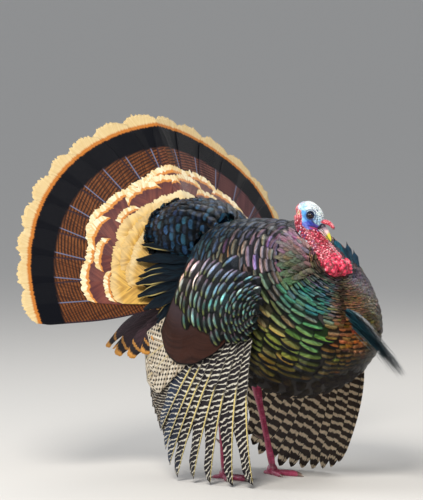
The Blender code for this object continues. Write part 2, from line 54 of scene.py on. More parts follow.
SKIN_DEPTH = 0.0055      # coat between the skin and the outline of the body
PATCH = 0.003            # a small feather's patch on the bake map
DOWN = Vector((0, 0, -1.0))
SIDES = (("left", 1), ("right", -1))


# ---------------------------------------------------------------- numbers
def mix(a, b, t):
    return a + (b - a) * t


def clamp(value, low=0.0, high=1.0):
    return min(max(value, low), high)


def ease(value, low, high):
    """0 under low, 1 over high, smooth between."""
    t = clamp((value - low) / (high - low))
    return t * t * (3 - 2 * t)


def ease_all(values, low, high):
    t = np.clip((values - low) / (high - low), 0, 1)
    return t * t * (3 - 2 * t)


def fade(values, low, high):
    """1 under low, 0 over high, smooth between."""
    return 1 - ease_all(values, low, high)


def hump(values, middle, width):
    """1 at the middle, less on either side of it."""
    return np.exp(-((values - middle) / width) ** 2)


def knots(table, t):
    """Value at t from a short table of (position, value...) rows."""
    if t <= table[0][0]:
        return table[0][1:]
    for low, high in zip(table, table[1:]):
        if t <= high[0]:
            s = (t - low[0]) / (high[0] - low[0])
            return tuple(mix(a, b, s) for a, b in zip(low[1:], high[1:]))
    return table[-1][1:]


def unit(rows):
    """Rows of vectors, each made one long."""
    return rows / np.maximum(np.linalg.norm(rows, axis=-1, keepdims=True), 1e-9)


# ---------------------------------------------------------------- shader helpers
def add(tree, kind, **settings):
    item = tree.nodes.new(kind)
    for key, value in settings.items():
        setattr(item, key, value)
    return item


def put(tree, socket, value):
    """A link, a number or a colour into a socket."""
    if isinstance(value, bpy.types.NodeSocket):
        tree.links.new(value, socket)
    elif isinstance(value, tuple) and socket.type == 'RGBA' and len(value) == 3:
        socket.default_value = (*value, 1.0)
    else:
        socket.default_value = value


def sums(tree, operation, *values):
    item = add(tree, "ShaderNodeMath", operation=operation)
    for socket, value in zip(item.inputs, values):
        put(tree, socket, value)
    return item.outputs[0]


def times(tree, a, b):
    return sums(tree, 'MULTIPLY', a, b)


def size_of(tree, value):
    return sums(tree, 'ABSOLUTE', value)


def ramp(tree, value, low, high, to_low=0.0, to_high=1.0):
    item = add(tree, "ShaderNodeMapRange", interpolation_type='SMOOTHSTEP')
    for socket, given in zip(item.inputs, (value, low, high, to_low, to_high)):
        put(tree, socket, given)
    return item.outputs[0]


def tint(tree, factor, a, b, mode='MIX'):
    item = add(tree, "ShaderNodeMix", data_type='RGBA', blend_type=mode)
    for socket, value in zip((item.inputs[0], item.inputs[6], item.inputs[7]), (factor, a, b)):
        put(tree, socket, value)
    return item.outputs[2]


def scaled(tree, colour, by):
    item = add(tree, "ShaderNodeVectorMath", operation='SCALE')
    put(tree, item.inputs[0], colour)
    put(tree, item.inputs["Scale"], by)
    return item.outputs[0]


def soft_noise(tree, x, y, z, detail):
    """Cloudy noise over three (value, fineness) pairs."""
    spot = add(tree, "ShaderNodeCombineXYZ")
    for socket, (value, fine) in zip(spot.inputs, (x, y, z)):
        put(tree, socket, times(tree, value, fine))
    cloud = add(tree, "ShaderNodeTexNoise")
    put(tree, cloud.inputs["Vector"], spot.outputs[0])
    cloud.inputs["Scale"].default_value = 1.0
    cloud.inputs["Detail"].default_value = detail
    return cloud.outputs[0]


def group(name, inputs, outputs):
    """An empty node group with named sockets; returns its tree, way in and way out."""
    tree = bpy.data.node_groups.new(name, 'ShaderNodeTree')
    for label, value in inputs:
        socket = tree.interface.new_socket(label, in_out='INPUT', socket_type='NodeSocketFloat')
        socket.default_value = value
    for label in outputs:
        tree.interface.new_socket(label, in_out='OUTPUT', socket_type='NodeSocketFloat')
    return tree, tree.nodes.new('NodeGroupInput').outputs, tree.nodes.new('NodeGroupOutput').inputs


def use(tree, made, **values):
    """Places a node group; returns its outputs."""
    item = add(tree, "ShaderNodeGroup", node_tree=made)
    for label, value in values.items():
        put(tree, item.inputs[label], value)
    return item.outputs


def vane_parts(tree):
    """Along, across and seed of a feather, from what its points carry."""
    read = add(tree, "ShaderNodeAttribute", attribute_name="vane")
    split = add(tree, "ShaderNodeSeparateXYZ")
    tree.links.new(read.outputs["Vector"], split.inputs[0])
    return split.outputs[0], split.outputs[1], split.outputs[2]


def make_barbs():
    """Fine barbs slanting off the shaft: a height, and soft streaks along them."""
    tree, given, result = group("barbs", (("Barbs", 120.0), ("Slant", 0.35), ("Splits", 1.0)),
                                ("Height", "Streak"))
    along, across, seed = vane_parts(tree)
    off = times(tree, size_of(tree, across), given["Slant"])
    count = times(tree, sums(tree, 'SUBTRACT', along, off), given["Barbs"])
    wave = sums(tree, 'SINE', times(tree, count, 2 * pi))
    streak = soft_noise(tree, (count, 0.30), (across, 0.9), (seed, 91.0), 3.0)
    put(tree, result["Height"], sums(tree, 'MULTIPLY_ADD', wave, 0.35, times(tree, streak, given["Splits"])))
    put(tree, result["Streak"], streak)
    return tree


def make_bars():
    """Cross bars of a feather, as a mask: slanted, wavering and broken where asked."""
    tree, given, result = group(
        "cross_bars", (("Count", 20.0), ("Share", 0.5), ("Slant", 0.1), ("Waver", 0.1), ("Broken", 0.0)),
        ("Mask",))
    along, across, seed = vane_parts(tree)
    cloud = soft_noise(tree, (along, 24.0), (across, 2.2), (seed, 57.0), 2.0)
    place = sums(tree, 'MULTIPLY_ADD', across, given["Slant"], along)
    drift = times(tree, sums(tree, 'SUBTRACT', cloud, 0.5), given["Waver"])
    place = sums(tree, 'ADD', place, drift)
    phase = sums(tree, 'FRACT', sums(tree, 'MULTIPLY_ADD', place, given["Count"], seed))
    mid = size_of(tree, sums(tree, 'SUBTRACT', phase, 0.5))
    gaps = times(tree, ramp(tree, cloud, 0.42, 0.60), given["Broken"])
    half = times(tree, times(tree, given["Share"], 0.5), sums(tree, 'SUBTRACT', 1.0, gaps))
    put(tree, result["Mask"], ramp(tree, sums(tree, 'SUBTRACT', half, mid), -0.07, 0.07))
    return tree


def make_grain():
    """Pebbled living skin: a height and a mottle."""
    tree, given, result = group("skin_grain", (("Size", 900.0),), ("Height", "Mottle"))
    spot = add(tree, "ShaderNodeTexCoord")
    cells = add(tree, "ShaderNodeTexVoronoi", feature='SMOOTH_F1')
    put(tree, cells.inputs["Vector"], spot.outputs["Object"])
    put(tree, cells.inputs["Scale"], given["Size"])
    cloud = add(tree, "ShaderNodeTexNoise")
    put(tree, cloud.inputs["Vector"], spot.outputs["Object"])
    put(tree, cloud.inputs["Scale"], times(tree, given["Size"], 0.4))
    cloud.inputs["Detail"].default_value = 4.0
    put(tree, result["Height"], sums(tree, 'MULTIPLY_ADD', cells.outputs["Distance"], -0.8, cloud.outputs[0]))
    put(tree, result["Mottle"], cloud.outputs[0])
    return tree


BARBS, BARS, GRAIN = make_barbs(), make_bars(), make_grain()


def finish_surface(name, colour_of, rough=0.45, metal=0.0, bump=None, bump_depth=0.0004, specular=0.5,
                   coat=0.0, coat_rough=0.1, sheen=0.0, under=0.0):
    """A Principled material; colour_of(tree) gives its colour and bump(tree) its height."""
    mat = bpy.data.materials.new(name)
    mat.use_nodes = True
    tree = mat.node_tree
    shader = tree.nodes["Principled BSDF"]
    put(tree, shader.inputs["Base Color"], colour_of(tree))
    for label, value in (("Roughness", rough), ("Metallic", metal), ("Specular IOR Level", specular),
                         ("Coat Weight", coat), ("Coat Roughness", coat_rough), ("Sheen Weight", sheen),
                         ("Sheen Roughness", 0.5)):
        shader.inputs[label].default_value = value
    if under:
        shader.inputs["Subsurface Weight"].default_value = under
        shader.inputs["Subsurface Radius"].default_value = (0.0030, 0.0010, 0.0006)
        shader.inputs["Subsurface Scale"].default_value = 1.0
    if bump:
        relief = add(tree, "ShaderNodeBump")
        relief.inputs["Distance"].default_value = bump_depth
        relief.inputs["Strength"].default_value = 1.0
        put(tree, relief.inputs["Height"], bump(tree))
        put(tree, shader.inputs["Normal"], relief.outputs[0])
    return mat


# ---------------------------------------------------------------- feather finishes
def barb_height(count, splits=1.0):
    return lambda tree: use(tree, BARBS, Barbs=count, Splits=splits)["Height"]


def tone_of(tree):
    read = add(tree, "ShaderNodeAttribute", attribute_name="tone")
    return read.outputs["Color"], read.outputs["Alpha"]


def streaks(tree, count):
    """Soft streaks, as fine as so many barbs along a feather."""
    return use(tree, BARBS, Barbs=count)["Streak"]


def streaked(tree, streak, a, b, low=0.3, high=0.7):
    """One colour to another by the streaks."""
    return tint(tree, ramp(tree, streak, low, high), a, b)


def frayed(tree, streak, by, along):
    """Along the feather, pushed to and fro by its streaks, for edges that fray."""
    return sums(tree, 'MULTIPLY_ADD', sums(tree, 'SUBTRACT', streak, 0.5), by, along)


def sheen_band(band_from=0.60, band_to=0.85, dark=(0.004, 0.005, 0.007), shade=0.10, warm=(1.5, 0.85, 0.35),
               ends=None):
    """Body feather: dark in the lap, its own dark base with painted shade under the feather above, a bright
    band, then a black edge; ends tint the band's two ends.
    """
    def colour(tree):
        along, across, _ = vane_parts(tree)
        tone, edge_share = tone_of(tree)
        streak = streaks(tree, 46.0)
        shine = scaled(tree, tone, ramp(tree, streak, 0.3, 0.72, 0.55, 1.55))
        late = ramp(tree, along, band_from + 0.08, band_to, 0.0, 0.55)
        shine = tint(tree, late, shine, tint(tree, 1.0, shine, warm, 'MULTIPLY'))
        place = sums(tree, 'MULTIPLY_ADD', streak, 0.06, along)
        rise = ramp(tree, place, band_from + 0.02, band_from + 0.14)
        if ends:
            shine = tint(tree, ramp(tree, across, -0.70, -0.15, 0.75, 0.0), shine, ends[0])
            shine = tint(tree, ramp(tree, across, 0.15, 0.75, 0.0, 0.80), shine, ends[1])
        # Before the band the tone is scaled down by shade: partly the feather's dark base, partly painted
        # shade under the feather that laps over it.
        body = tint(tree, rise, scaled(tree, tone, shade), shine)
        edge = size_of(tree, across)
        side = ramp(tree, edge, 0.80, 0.96, 0.0, 0.80)
        rounded = sums(tree, 'MULTIPLY_ADD', sums(tree, 'POWER', edge, 3.0), 0.05, place)
        tip = ramp(tree, rounded, band_to, band_to + 0.05)
        return tint(tree, times(tree, sums(tree, 'MAXIMUM', tip, side), edge_share), body, dark)
    return colour


def tail_colour(tree):
    """Long tail feather: fine barred chestnut, a black band, an orange line and a cream tip."""
    along, across, _ = vane_parts(tree)
    edge = size_of(tree, across)
    streak = streaks(tree, 150.0)
    chestnut = streaked(tree, streak, (0.088, 0.027, 0.010), (0.205, 0.072, 0.024))
    violet = streaked(tree, streak, (0.085, 0.030, 0.038), (0.170, 0.065, 0.072))
    ground = tint(tree, tone_of(tree)[1], chestnut, violet)
    bars = use(tree, BARS, Count=62.0, Share=0.50, Slant=-0.02, Waver=0.010, Broken=0.3)["Mask"]
    ground = tint(tree, times(tree, bars, 0.88), ground, (0.018, 0.010, 0.010))
    place = frayed(tree, streak, 0.020, along)
    black = ramp(tree, place, 0.795, 0.812)
    ground = tint(tree, black, ground, (0.003, 0.0035, 0.006))
    ground = tint(tree, ramp(tree, place, 0.918, 0.926), ground, (0.50, 0.17, 0.03))
    cream = tint(tree, streak, (0.56, 0.38, 0.15), (0.76, 0.62, 0.36))
    ground = tint(tree, ramp(tree, place, 0.934, 0.946), ground, cream)
    inner = sums(tree, 'SUBTRACT', 1.0, black)
    ground = tint(tree, times(tree, ramp(tree, edge, 0.88, 0.99), inner), ground, (0.03, 0.02, 0.03))
    shaft = times(tree, ramp(tree, edge, 0.018, 0.034, 1.0, 0.0), inner)
    return tint(tree, shaft, ground, (0.13, 0.15, 0.24))


def covert_colour(tree):
    """Upper tail covert: maroon brown, an orange line, a cream fringe."""
    along, across, _ = vane_parts(tree)
    streak = streaks(tree, 60.0)
    ground = streaked(tree, streak, (0.095, 0.020, 0.018), (0.200, 0.055, 0.036))
    place = frayed(tree, streak, 0.030, along)
    place = sums(tree, 'MULTIPLY_ADD', sums(tree, 'POWER', size_of(tree, across), 4.0), 0.03, place)
    ground = tint(tree, ramp(tree, place, 0.80, 0.91, 0.0, 0.45), ground, (0.05, 0.012, 0.02))
    ground = tint(tree, ramp(tree, place, 0.908, 0.922), ground, (0.62, 0.23, 0.04))
    cream = streaked(tree, streak, (0.72, 0.50, 0.20), (0.90, 0.80, 0.56), 0.35, 0.65)
    return tint(tree, ramp(tree, place, 0.938, 0.952), ground, cream)


def buff_colour(tree):
    """Inner covert: deep gold going to cream at the tip, streaked."""
    along, _, _ = vane_parts(tree)
    pale = tone_of(tree)[1]
    streak = streaks(tree, 40.0)
    gold = streaked(tree, streak, (0.36, 0.17, 0.02), (0.78, 0.46, 0.08))
    ground = tint(tree, times(tree, pale, 0.8), gold, (0.74, 0.52, 0.20))
    end = times(tree, ramp(tree, along, 0.84, 0.97), ramp(tree, pale, 0.0, 1.0, 0.35, 0.95))
    ground = tint(tree, end, ground, tint(tree, streak, (0.80, 0.60, 0.26), (0.90, 0.82, 0.58)))
    # Darker streaks towards the root of the feather.
    dark_root_streaks = times(tree, ramp(tree, streak, 0.60, 0.70), ramp(tree, along, 0.70, 0.92, 0.9, 0.0))
    return tint(tree, dark_root_streaks, ground, (0.16, 0.08, 0.02))


def barred_colour(dark, pale, count, share, slant, waver, broken, shaft, sheen=None):
    """Flight feather: dark vane crossed by pale bars, with its own shaft colour."""
    def colour(tree):
        along, across, seed = vane_parts(tree)
        streak = streaks(tree, 90.0)
        ground = streaked(tree, streak, dark, tuple(c * 1.9 for c in dark))
        if sheen:
            # A painted blue sheen over the dark vane, strongest towards the tips of the hind feathers.
            painted_sheen = ramp(tree, times(tree, along, tone_of(tree)[1]), 0.35, 0.75, 0.0, 0.8)
            ground = tint(tree, painted_sheen, ground, sheen)
        bars = use(tree, BARS, Count=count, Share=share, Slant=slant, Waver=waver, Broken=broken)["Mask"]
        bright = streaked(tree, streak, tuple(c * 0.75 for c in pale), pale, 0.25, 0.75)
        ground = tint(tree, times(tree, bars, 0.95), ground, bright)
        line = ramp(tree, size_of(tree, across), 0.050, 0.080, 1.0, 0.0)
        line = times(tree, line, ramp(tree, sums(tree, 'MULTIPLY_ADD', seed, 0.14, along), 0.36, 0.48))
        return tint(tree, line, ground, shaft)
    return colour


def skirt_colour(tree):
    """Blue-black feather with a thin pale yellow line near each side."""
    along, across, seed = vane_parts(tree)
    streak = streaks(tree, 40.0)
    ground = streaked(tree, streak, (0.004, 0.006, 0.010), tone_of(tree)[0], 0.35)
    line = times(tree, ramp(tree, size_of(tree, across), 0.74, 0.84), ramp(tree, along, 0.45, 0.75, 0.0, 0.9))
    line = times(tree, line, ramp(tree, seed, 0.40, 0.50))
    return tint(tree, line, ground, (0.62, 0.50, 0.18))


def ticked_colour(tree):
    """Inner wing feather: cream vane with rows of small dark ticks."""
    along, across, _ = vane_parts(tree)
    streak = streaks(tree, 90.0)
    cream = streaked(tree, streak, (0.30, 0.23, 0.15), (0.62, 0.56, 0.45))
    row = times(tree, along, 24.0)
    shift = times(tree, sums(tree, 'FLOOR', row), 0.43)
    column = sums(tree, 'MULTIPLY_ADD', across, 4.5, shift)
    tall, wide = (size_of(tree, sums(tree, 'SUBTRACT', sums(tree, 'FRACT', value), 0.5))
                  for value in (row, column))
    ticks = times(tree, ramp(tree, tall, 0.34, 0.40, 1.0, 0.0), ramp(tree, wide, 0.17, 0.24, 1.0, 0.0))
    ticks = times(tree, ticks, ramp(tree, streak, 0.30, 0.42))
    ground = tint(tree, ticks, cream, (0.020, 0.014, 0.012))
    return tint(tree, ramp(tree, size_of(tree, across), 0.02, 0.05, 1.0, 0.0), ground, (0.45, 0.36, 0.20))


def panel_colour(tree):
    """Innermost wing feather: plain dark brown with a painted cool sheen near its roots and a thin dark rim.
    """
    along, across, _ = vane_parts(tree)
    ground = streaked(tree, streaks(tree, 110.0), (0.017, 0.006, 0.004), (0.040, 0.014, 0.009))
    # A painted cool sheen on the upper part of the panel, near its roots.
    painted_sheen = times(tree, ramp(tree, along, 0.15, 0.65, 0.8, 0.0), ramp(tree, across, -0.2, 0.7))
    ground = tint(tree, painted_sheen, ground, (0.040, 0.028, 0.034))
    rim = sums(tree, 'MAXIMUM', ramp(tree, along, 0.965, 0.985), ramp(tree, across, 0.955, 0.985))
    return tint(tree, rim, ground, (0.006, 0.005, 0.005))


DOWN_TIP = (0.46, 0.21, 0.045)
DOWN_TIP_PALE = (0.782, 0.357, 0.0765)
DOWN_TIP_FROM = 0.92


def down_colour(tree):
    """Soft dark under feather with a buff tip and a bar of the same before it."""
    along, _, _ = vane_parts(tree)
    tone, tipped = tone_of(tree)
    streak = streaks(tree, 50.0)
    deep = scaled(tree, tone, ramp(tree, streak, 0.3, 0.7, 0.5, 1.5))
    place = frayed(tree, streak, 0.06, along)
    shade = ramp(tree, place, DOWN_TIP_FROM - 0.16, DOWN_TIP_FROM - 0.05)
    ground = tint(tree, shade, deep, (0.012, 0.008, 0.010))
    bar = times(tree, ramp(tree, place, DOWN_TIP_FROM - 0.10, DOWN_TIP_FROM - 0.09),
                ramp(tree, place, DOWN_TIP_FROM - 0.065, DOWN_TIP_FROM - 0.055, 1.0, 0.0))
    end = sums(tree, 'MAXIMUM', ramp(tree, place, DOWN_TIP_FROM, DOWN_TIP_FROM + 0.04), times(tree, bar, 0.6))
    return tint(tree, times(tree, end, tipped), ground, tint(tree, streak, DOWN_TIP, DOWN_TIP_PALE))


LOBE_ENDS = ((0.150, 0.085, 0.120), (0.170, 0.190, 0.045))
FINISH = {kind: finish_surface(kind + "_feather", colour, rough, metal, barb_height(*barbs), depth, specular,
                               sheen=sheen)
          for kind, colour, rough, metal, barbs, depth, specular, sheen in (
    ("bronze", sheen_band(), 0.35, 0.50, (40.0, 1.2), 0.0005, 0.35, 0.0),
    ("lobe", sheen_band(0.66, 0.88, (0.003, 0.004, 0.006), 0.03, (1.8, 1.1, 0.6), LOBE_ENDS),
     0.32, 0.50, (34.0, 1.4), 0.0006, 0.3, 0.0),
    ("rump", sheen_band(0.58, 0.86, (0.002, 0.003, 0.005), 0.10, (0.7, 0.9, 1.2)),
     0.30, 0.45, (30.0, 1.6), 0.0006, 0.35, 0.0),
    ("cape", sheen_band(0.05, 0.96, (0.02, 0.02, 0.02), 0.5, (1.0, 1.0, 1.0)),
     0.42, 0.35, (40.0, 1.2), 0.0005, 0.3, 0.0),
    ("tail", tail_colour, 0.55, 0.0, (190.0,), 0.0002, 0.08, 0.0),
    ("covert", covert_colour, 0.6, 0.0, (90.0,), 0.0003, 0.3, 0.2),
    ("buff", buff_colour, 0.7, 0.0, (60.0,), 0.0004, 0.25, 0.3),
    ("primary", barred_colour((0.008, 0.006, 0.008), (0.66, 0.62, 0.52), 27.0, 0.31, 0.070, 0.050, 0.55,
                              (0.62, 0.50, 0.18), (0.014, 0.028, 0.060)),
     0.46, 0.0, (150.0,), 0.0002, 0.18, 0.0),
    ("far_primary", barred_colour((0.017, 0.008, 0.004), (0.80, 0.63, 0.42), 18.0, 0.38, 0.006, 0.030, 0.12,
                                  (0.02, 0.015, 0.015)), 0.55, 0.0, (150.0,), 0.0002, 0.2, 0.0),
    ("secondary", barred_colour((0.009, 0.006, 0.006), (0.52, 0.47, 0.38), 30.0, 0.30, 0.07, 0.030, 0.5,
                                (0.10, 0.07, 0.04)), 0.5, 0.0, (150.0,), 0.0002, 0.15, 0.0),
    ("pale_secondary", ticked_colour, 0.55, 0.0, (150.0,), 0.0002, 0.15, 0.0),
    ("panel", panel_colour, 0.50, 0.0, (200.0, 0.6), 0.00015, 0.08, 0.0),
    ("down", down_colour, 0.60, 0.0, (60.0, 1.6), 0.0005, 0.15, 0.0),
    ("skirt", skirt_colour, 0.40, 0.20, (60.0, 1.4), 0.0005, 0.2, 0.0),
    ("long", sheen_band(0.02, 0.90, (0.003, 0.005, 0.010), 0.5, (0.6, 0.9, 1.2)),
     0.34, 0.40, (70.0, 1.2), 0.0004, 0.6, 0.0))}


# ---------------------------------------------------------------- meshes
def grid_quads(count, rows, cols):
    """Faces of many grids laid one after another."""
    spot = np.arange(rows * cols).reshape(rows, cols)
    quads = np.stack([spot[:-1, :-1], spot[:-1, 1:], spot[1:, 1:], spot[1:, :-1]], -1).reshape(-1, 4)
    return (quads[None] + (np.arange(count) * rows * cols)[:, None, None]).reshape(-1, 4)


def show(ob, *replaced, slot):
    """Rides on the body and stands for the CAD nodes, which it hides; slot is not used."""
    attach(ob, "root")
    if replaced:
        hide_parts(*replaced)


def placed(name, data):
    """A new object in the scene."""
    ob = bpy.data.objects.new(name, data)
    bpy.context.scene.collection.objects.link(ob)
    return ob


def read(items, key, wide=3, kind=np.float32):
    """One value of every vertex, face or corner of a mesh."""
    values = np.empty(len(items) * wide, dtype=kind)
    items.foreach_get(key, values)
    return values.reshape(-1, wide).astype(float) if wide > 1 else values


def read_points(mesh):
    return read(mesh.vertices, "co"), read(mesh.vertices, "normal")


def write_points(mesh, co):
    mesh.vertices.foreach_set("co", co.astype(np.float32).reshape(-1))
    mesh.update()


def paint(mesh, colours):
    """A colour for every point of a mesh, three or four numbers each."""
    carried = mesh.attributes.new("tone", 'FLOAT_COLOR', 'POINT')
    full = np.ones((len(colours), 4), dtype=np.float32)
    full[:, :colours.shape[1]] = colours
    carried.data.foreach_set("color", full.reshape(-1))


def cover(ob, material):
    """One finish over all of a mesh."""
    ob.data.materials.clear()
    ob.data.materials.append(material)


def spread(full, *values):
    """Values over every point of many grids, stacked."""
    return np.stack([np.broadcast_to(value, full) for value in values], -1)


def own_patches(full, along, across, room=0.92):
    """A patch of its own on the bake map for each long feather, in a square of them."""
    grid = ceil(sqrt(full[0]))
    k = np.arange(full[0])
    corner = np.stack([(k % grid + 0.5) / grid, (k // grid + 0.5) / grid], -1)
    return corner[:, None, None, :] + spread(full, across * room / 2, (along - 0.5) * room) / grid


def small_patches(full, chart, along, across):
    """A small patch for each feather, at its root's place on an unwrap of its skin."""
    return chart[:, None, None, :] + spread(full, across * 0.5, along - 0.5) * PATCH


def facing_out(side, *grids):
    """Grids turned over on the left side, so that their faces look outward there too."""
    return [grid[:, :, ::-1] for grid in grids] if side > 0 else grids


def sheet_mesh(name, points, vane, tone, patch, material):
    """One mesh of many feathers: points, vane and patch are (count, rows, cols, n), tone (count, 4)."""
    count, rows, cols = points.shape[:3]
    quads = grid_quads(count, rows, cols)
    corners = quads.reshape(-1)
    mesh = bpy.data.meshes.new(name)
    mesh.vertices.add(count * rows * cols)
    mesh.vertices.foreach_set("co", (points + np.array(HOME)).astype(np.float32).reshape(-1))
    mesh.loops.add(corners.size)
    mesh.loops.foreach_set("vertex_index", corners.astype(np.int32))
    mesh.polygons.add(len(quads))
    mesh.polygons.foreach_set("loop_start", np.arange(0, corners.size, 4, dtype=np.int32))
    mesh.polygons.foreach_set("use_smooth", np.ones(len(quads), dtype=bool))
    mesh.update(calc_edges=True)
    chart = mesh.uv_layers.new(name="OFBake")
    chart.data.foreach_set("uv", patch.reshape(-1, 2)[corners].astype(np.float32).reshape(-1))
    carried = mesh.attributes.new("vane", 'FLOAT_VECTOR', 'POINT')
    carried.data.foreach_set("vector", vane.astype(np.float32).reshape(-1))
    paint(mesh, np.repeat(np.array(tone), rows * cols, axis=0))
    mesh.materials.append(material)
    return placed(name, mesh)


def copy_of_nodes(name, labels):
    """CAD solids gathered in one new mesh, in the bird's frame."""
    bm = bmesh.new()
    for label in labels:
        bm.from_mesh(NODES[label].data)
    bmesh.ops.translate(bm, verts=bm.verts, vec=-HOME)
    mesh = bpy.data.meshes.new(name)
    bm.to_mesh(mesh)
    bm.free()
    return placed(name, mesh)


def settle(ob):
    """Modifiers into the mesh."""
    graph = bpy.context.evaluated_depsgraph_get()
    mesh = bpy.data.meshes.new_from_object(ob.evaluated_get(graph))
    old = ob.data
    ob.modifiers.clear()
    ob.data = mesh
    bpy.data.meshes.remove(old)


def thicken(ob, thick):
    """A vane as a solid, half its thickness on either side."""
    body = ob.modifiers.new("vane_thickness", 'SOLIDIFY')
    body.thickness = thick
    body.offset = 0.0
    settle(ob)


def bridge(ob, low, high):
    """Closes the hollow left for another solid with the hull of the points in a box."""
    cut = bmesh.new()
    cut.from_mesh(ob.data)
    bmesh.ops.delete(cut, geom=cut.faces[:] + cut.edges[:], context='EDGES_FACES')
    away = [v for v in cut.verts if not all(a <= c <= b for a, c, b in zip(low, v.co, high))]
    bmesh.ops.delete(cut, geom=away, context='VERTS')
    bmesh.ops.convex_hull(cut, input=cut.verts)
    plug = bpy.data.meshes.new("plug")
    cut.to_mesh(plug)
    cut.free()
    whole = bmesh.new()
    whole.from_mesh(ob.data)
    whole.from_mesh(plug)
    whole.to_mesh(ob.data)
    whole.free()
    bpy.data.meshes.remove(plug)


def melted(name, labels, cell, passes, push=0.0, hollows=()):
    """One smooth skin over CAD solids, drawn in by push."""
    ob = copy_of_nodes(name, labels)
    for low, high in hollows:
        bridge(ob, low, high)
    melt = ob.modifiers.new("melt", 'REMESH')
    melt.mode = 'VOXEL'
    melt.voxel_size = cell
    calm = ob.modifiers.new("calm", 'SMOOTH')
    calm.iterations = passes
    calm.factor = 0.5
    settle(ob)
    if push:
        co, normal = read_points(ob.data)
        write_points(ob.data, co - normal * push)
    for face in ob.data.polygons:
        face.use_smooth = True
    return ob


class Surface:
    """A skin that feathers are laid on."""

    def __init__(self, ob):
        bm = bmesh.new()
        bm.from_mesh(ob.data)
        bmesh.ops.triangulate(bm, faces=bm.faces)
        self.tree = BVHTree.FromBMesh(bm)
        bm.free()

    def near(self, point):
        spot, normal, _, _ = self.tree.find_nearest(point)
        return spot, normal

    def step(self, point, heading, length):
        """A pace along the skin: the new place, its normal and the heading there."""
        spot, normal = self.near(point + heading * length)
        ahead = spot - point
        ahead -= normal * ahead.dot(normal)
        if ahead.length > length * 0.15:
            heading = ahead.normalized()
        else:
            heading = (heading - normal * heading.dot(normal)).normalized()
        return spot, normal, heading


# ---------------------------------------------------------------- laying feathers
ROWS = np.array((0.0, 0.20, 0.38, 0.53, 0.66, 0.77, 0.86, 0.935, 1.0))
COLS = np.array((-1.0, -0.66, -0.33, 0.0, 0.33, 0.66, 1.0))
LAP_LOW = 0.0004         # a feather's foot above the skin
LAP_ROLL = 0.0009        # one side of its tip above the other
LAP_RAGGED = 0.014       # unevenness of its tip, in lengths


class Roots:
    """Where the feathers of one tract grow: place, heading, half width, length, colour and unwrap."""

    def __init__(self):
        self.rows = []

    def grow(self, place, heading, half, length, tone, chart):
        self.rows.append((place, heading, half, length, tone, chart))


def walk_spines(surface, roots, seed, yaw):
    """Each feather's middle line along the skin, with the way across and out at each stop."""
    chance = np.random.default_rng(seed)
    spine, across, out = [], [], []
    for place, heading, _, length, _, _ in roots.rows:
        spot, normal = surface.near(place)
        turn = Matrix.Rotation(chance.normal(0, yaw), 3, normal)
        ahead = turn @ heading
        ahead = (ahead - normal * ahead.dot(normal)).normalized()
        line, sides, outs = [spot], [normal.cross(ahead)], [normal]
        for a, b in zip(ROWS, ROWS[1:]):
            spot, new, ahead = surface.step(spot, ahead, length * (b - a))
            normal = (normal * 0.35 + new * 0.65).normalized()
            line.append(spot)
            sides.append(normal.cross(ahead).normalized())
            outs.append(normal)
        spine.append(line)
        across.append(sides)
        out.append(outs)
    return np.array(spine), np.array(across), np.array(out)


def vane_shape(squareness):
    """Half width along a small feather, from its narrow foot to its tip."""
    foot = np.clip(0.22 + 1.5 * ROWS, 0, 1)
    end = 1 - (1 - squareness) * ease_all(ROWS, 0.72, 1.0)
    return (foot * end)[None, :, None]


def lay(name, surface, roots, material, slot, seed, lift=SKIN_DEPTH, cup=0.16, square=0.80, curl=0.0,
        yaw=0.05):
    """Feathers of one tract, lapped like tiles, from their roots."""
    chance = np.random.default_rng(seed + 1)
    spine, across, out = walk_spines(surface, roots, seed, yaw)
    half, length, tone, chart = (np.array([row[k] for row in roots.rows]) for k in range(2, 6))
    half, length = half[:, None, None], length[:, None, None]
    full = (len(half), len(ROWS), len(COLS))
    s, w = ROWS[None, :, None], COLS[None, None, :]
    heading = unit(np.gradient(spine, axis=1))
    shape = vane_shape(square)
    sideways = half * shape * w
    raise_by = lift * (0.9 + 0.2 * chance.random((len(half), 1, 1)))
    height = LAP_LOW + raise_by * s - cup * half * shape * w ** 2 * (0.3 + 0.7 * s)
    height = height + LAP_ROLL * w * s + curl * length * np.maximum(s - 0.6, 0) ** 2
    back = length * (0.11 * np.abs(w) ** 3.2) * s ** 6
    back = back + length * LAP_RAGGED * chance.standard_normal((len(half), 1, len(COLS))) * (s > 0.98)
    points = (spine[:, :, None, :] + across[:, :, None, :] * sideways[..., None]
              + out[:, :, None, :] * height[..., None] - heading[:, :, None, :] * back[..., None])
    vane = spread(full, s, w, chance.random((len(half), 1, 1)))
    show(sheet_mesh(name, points, vane, tone, small_patches(full, chart, s, w), material), slot=slot)


COARSE_TURN, FINE_TURN = 0.25, 0.12      # steps in the search for the body's outline
FIRST_TILT = pi * 0.6
WIDEST_STEP = 0.06       # a wider one is a gap in the row
LEAST_SLOPE = 0.3        # below this the skin faces the centre


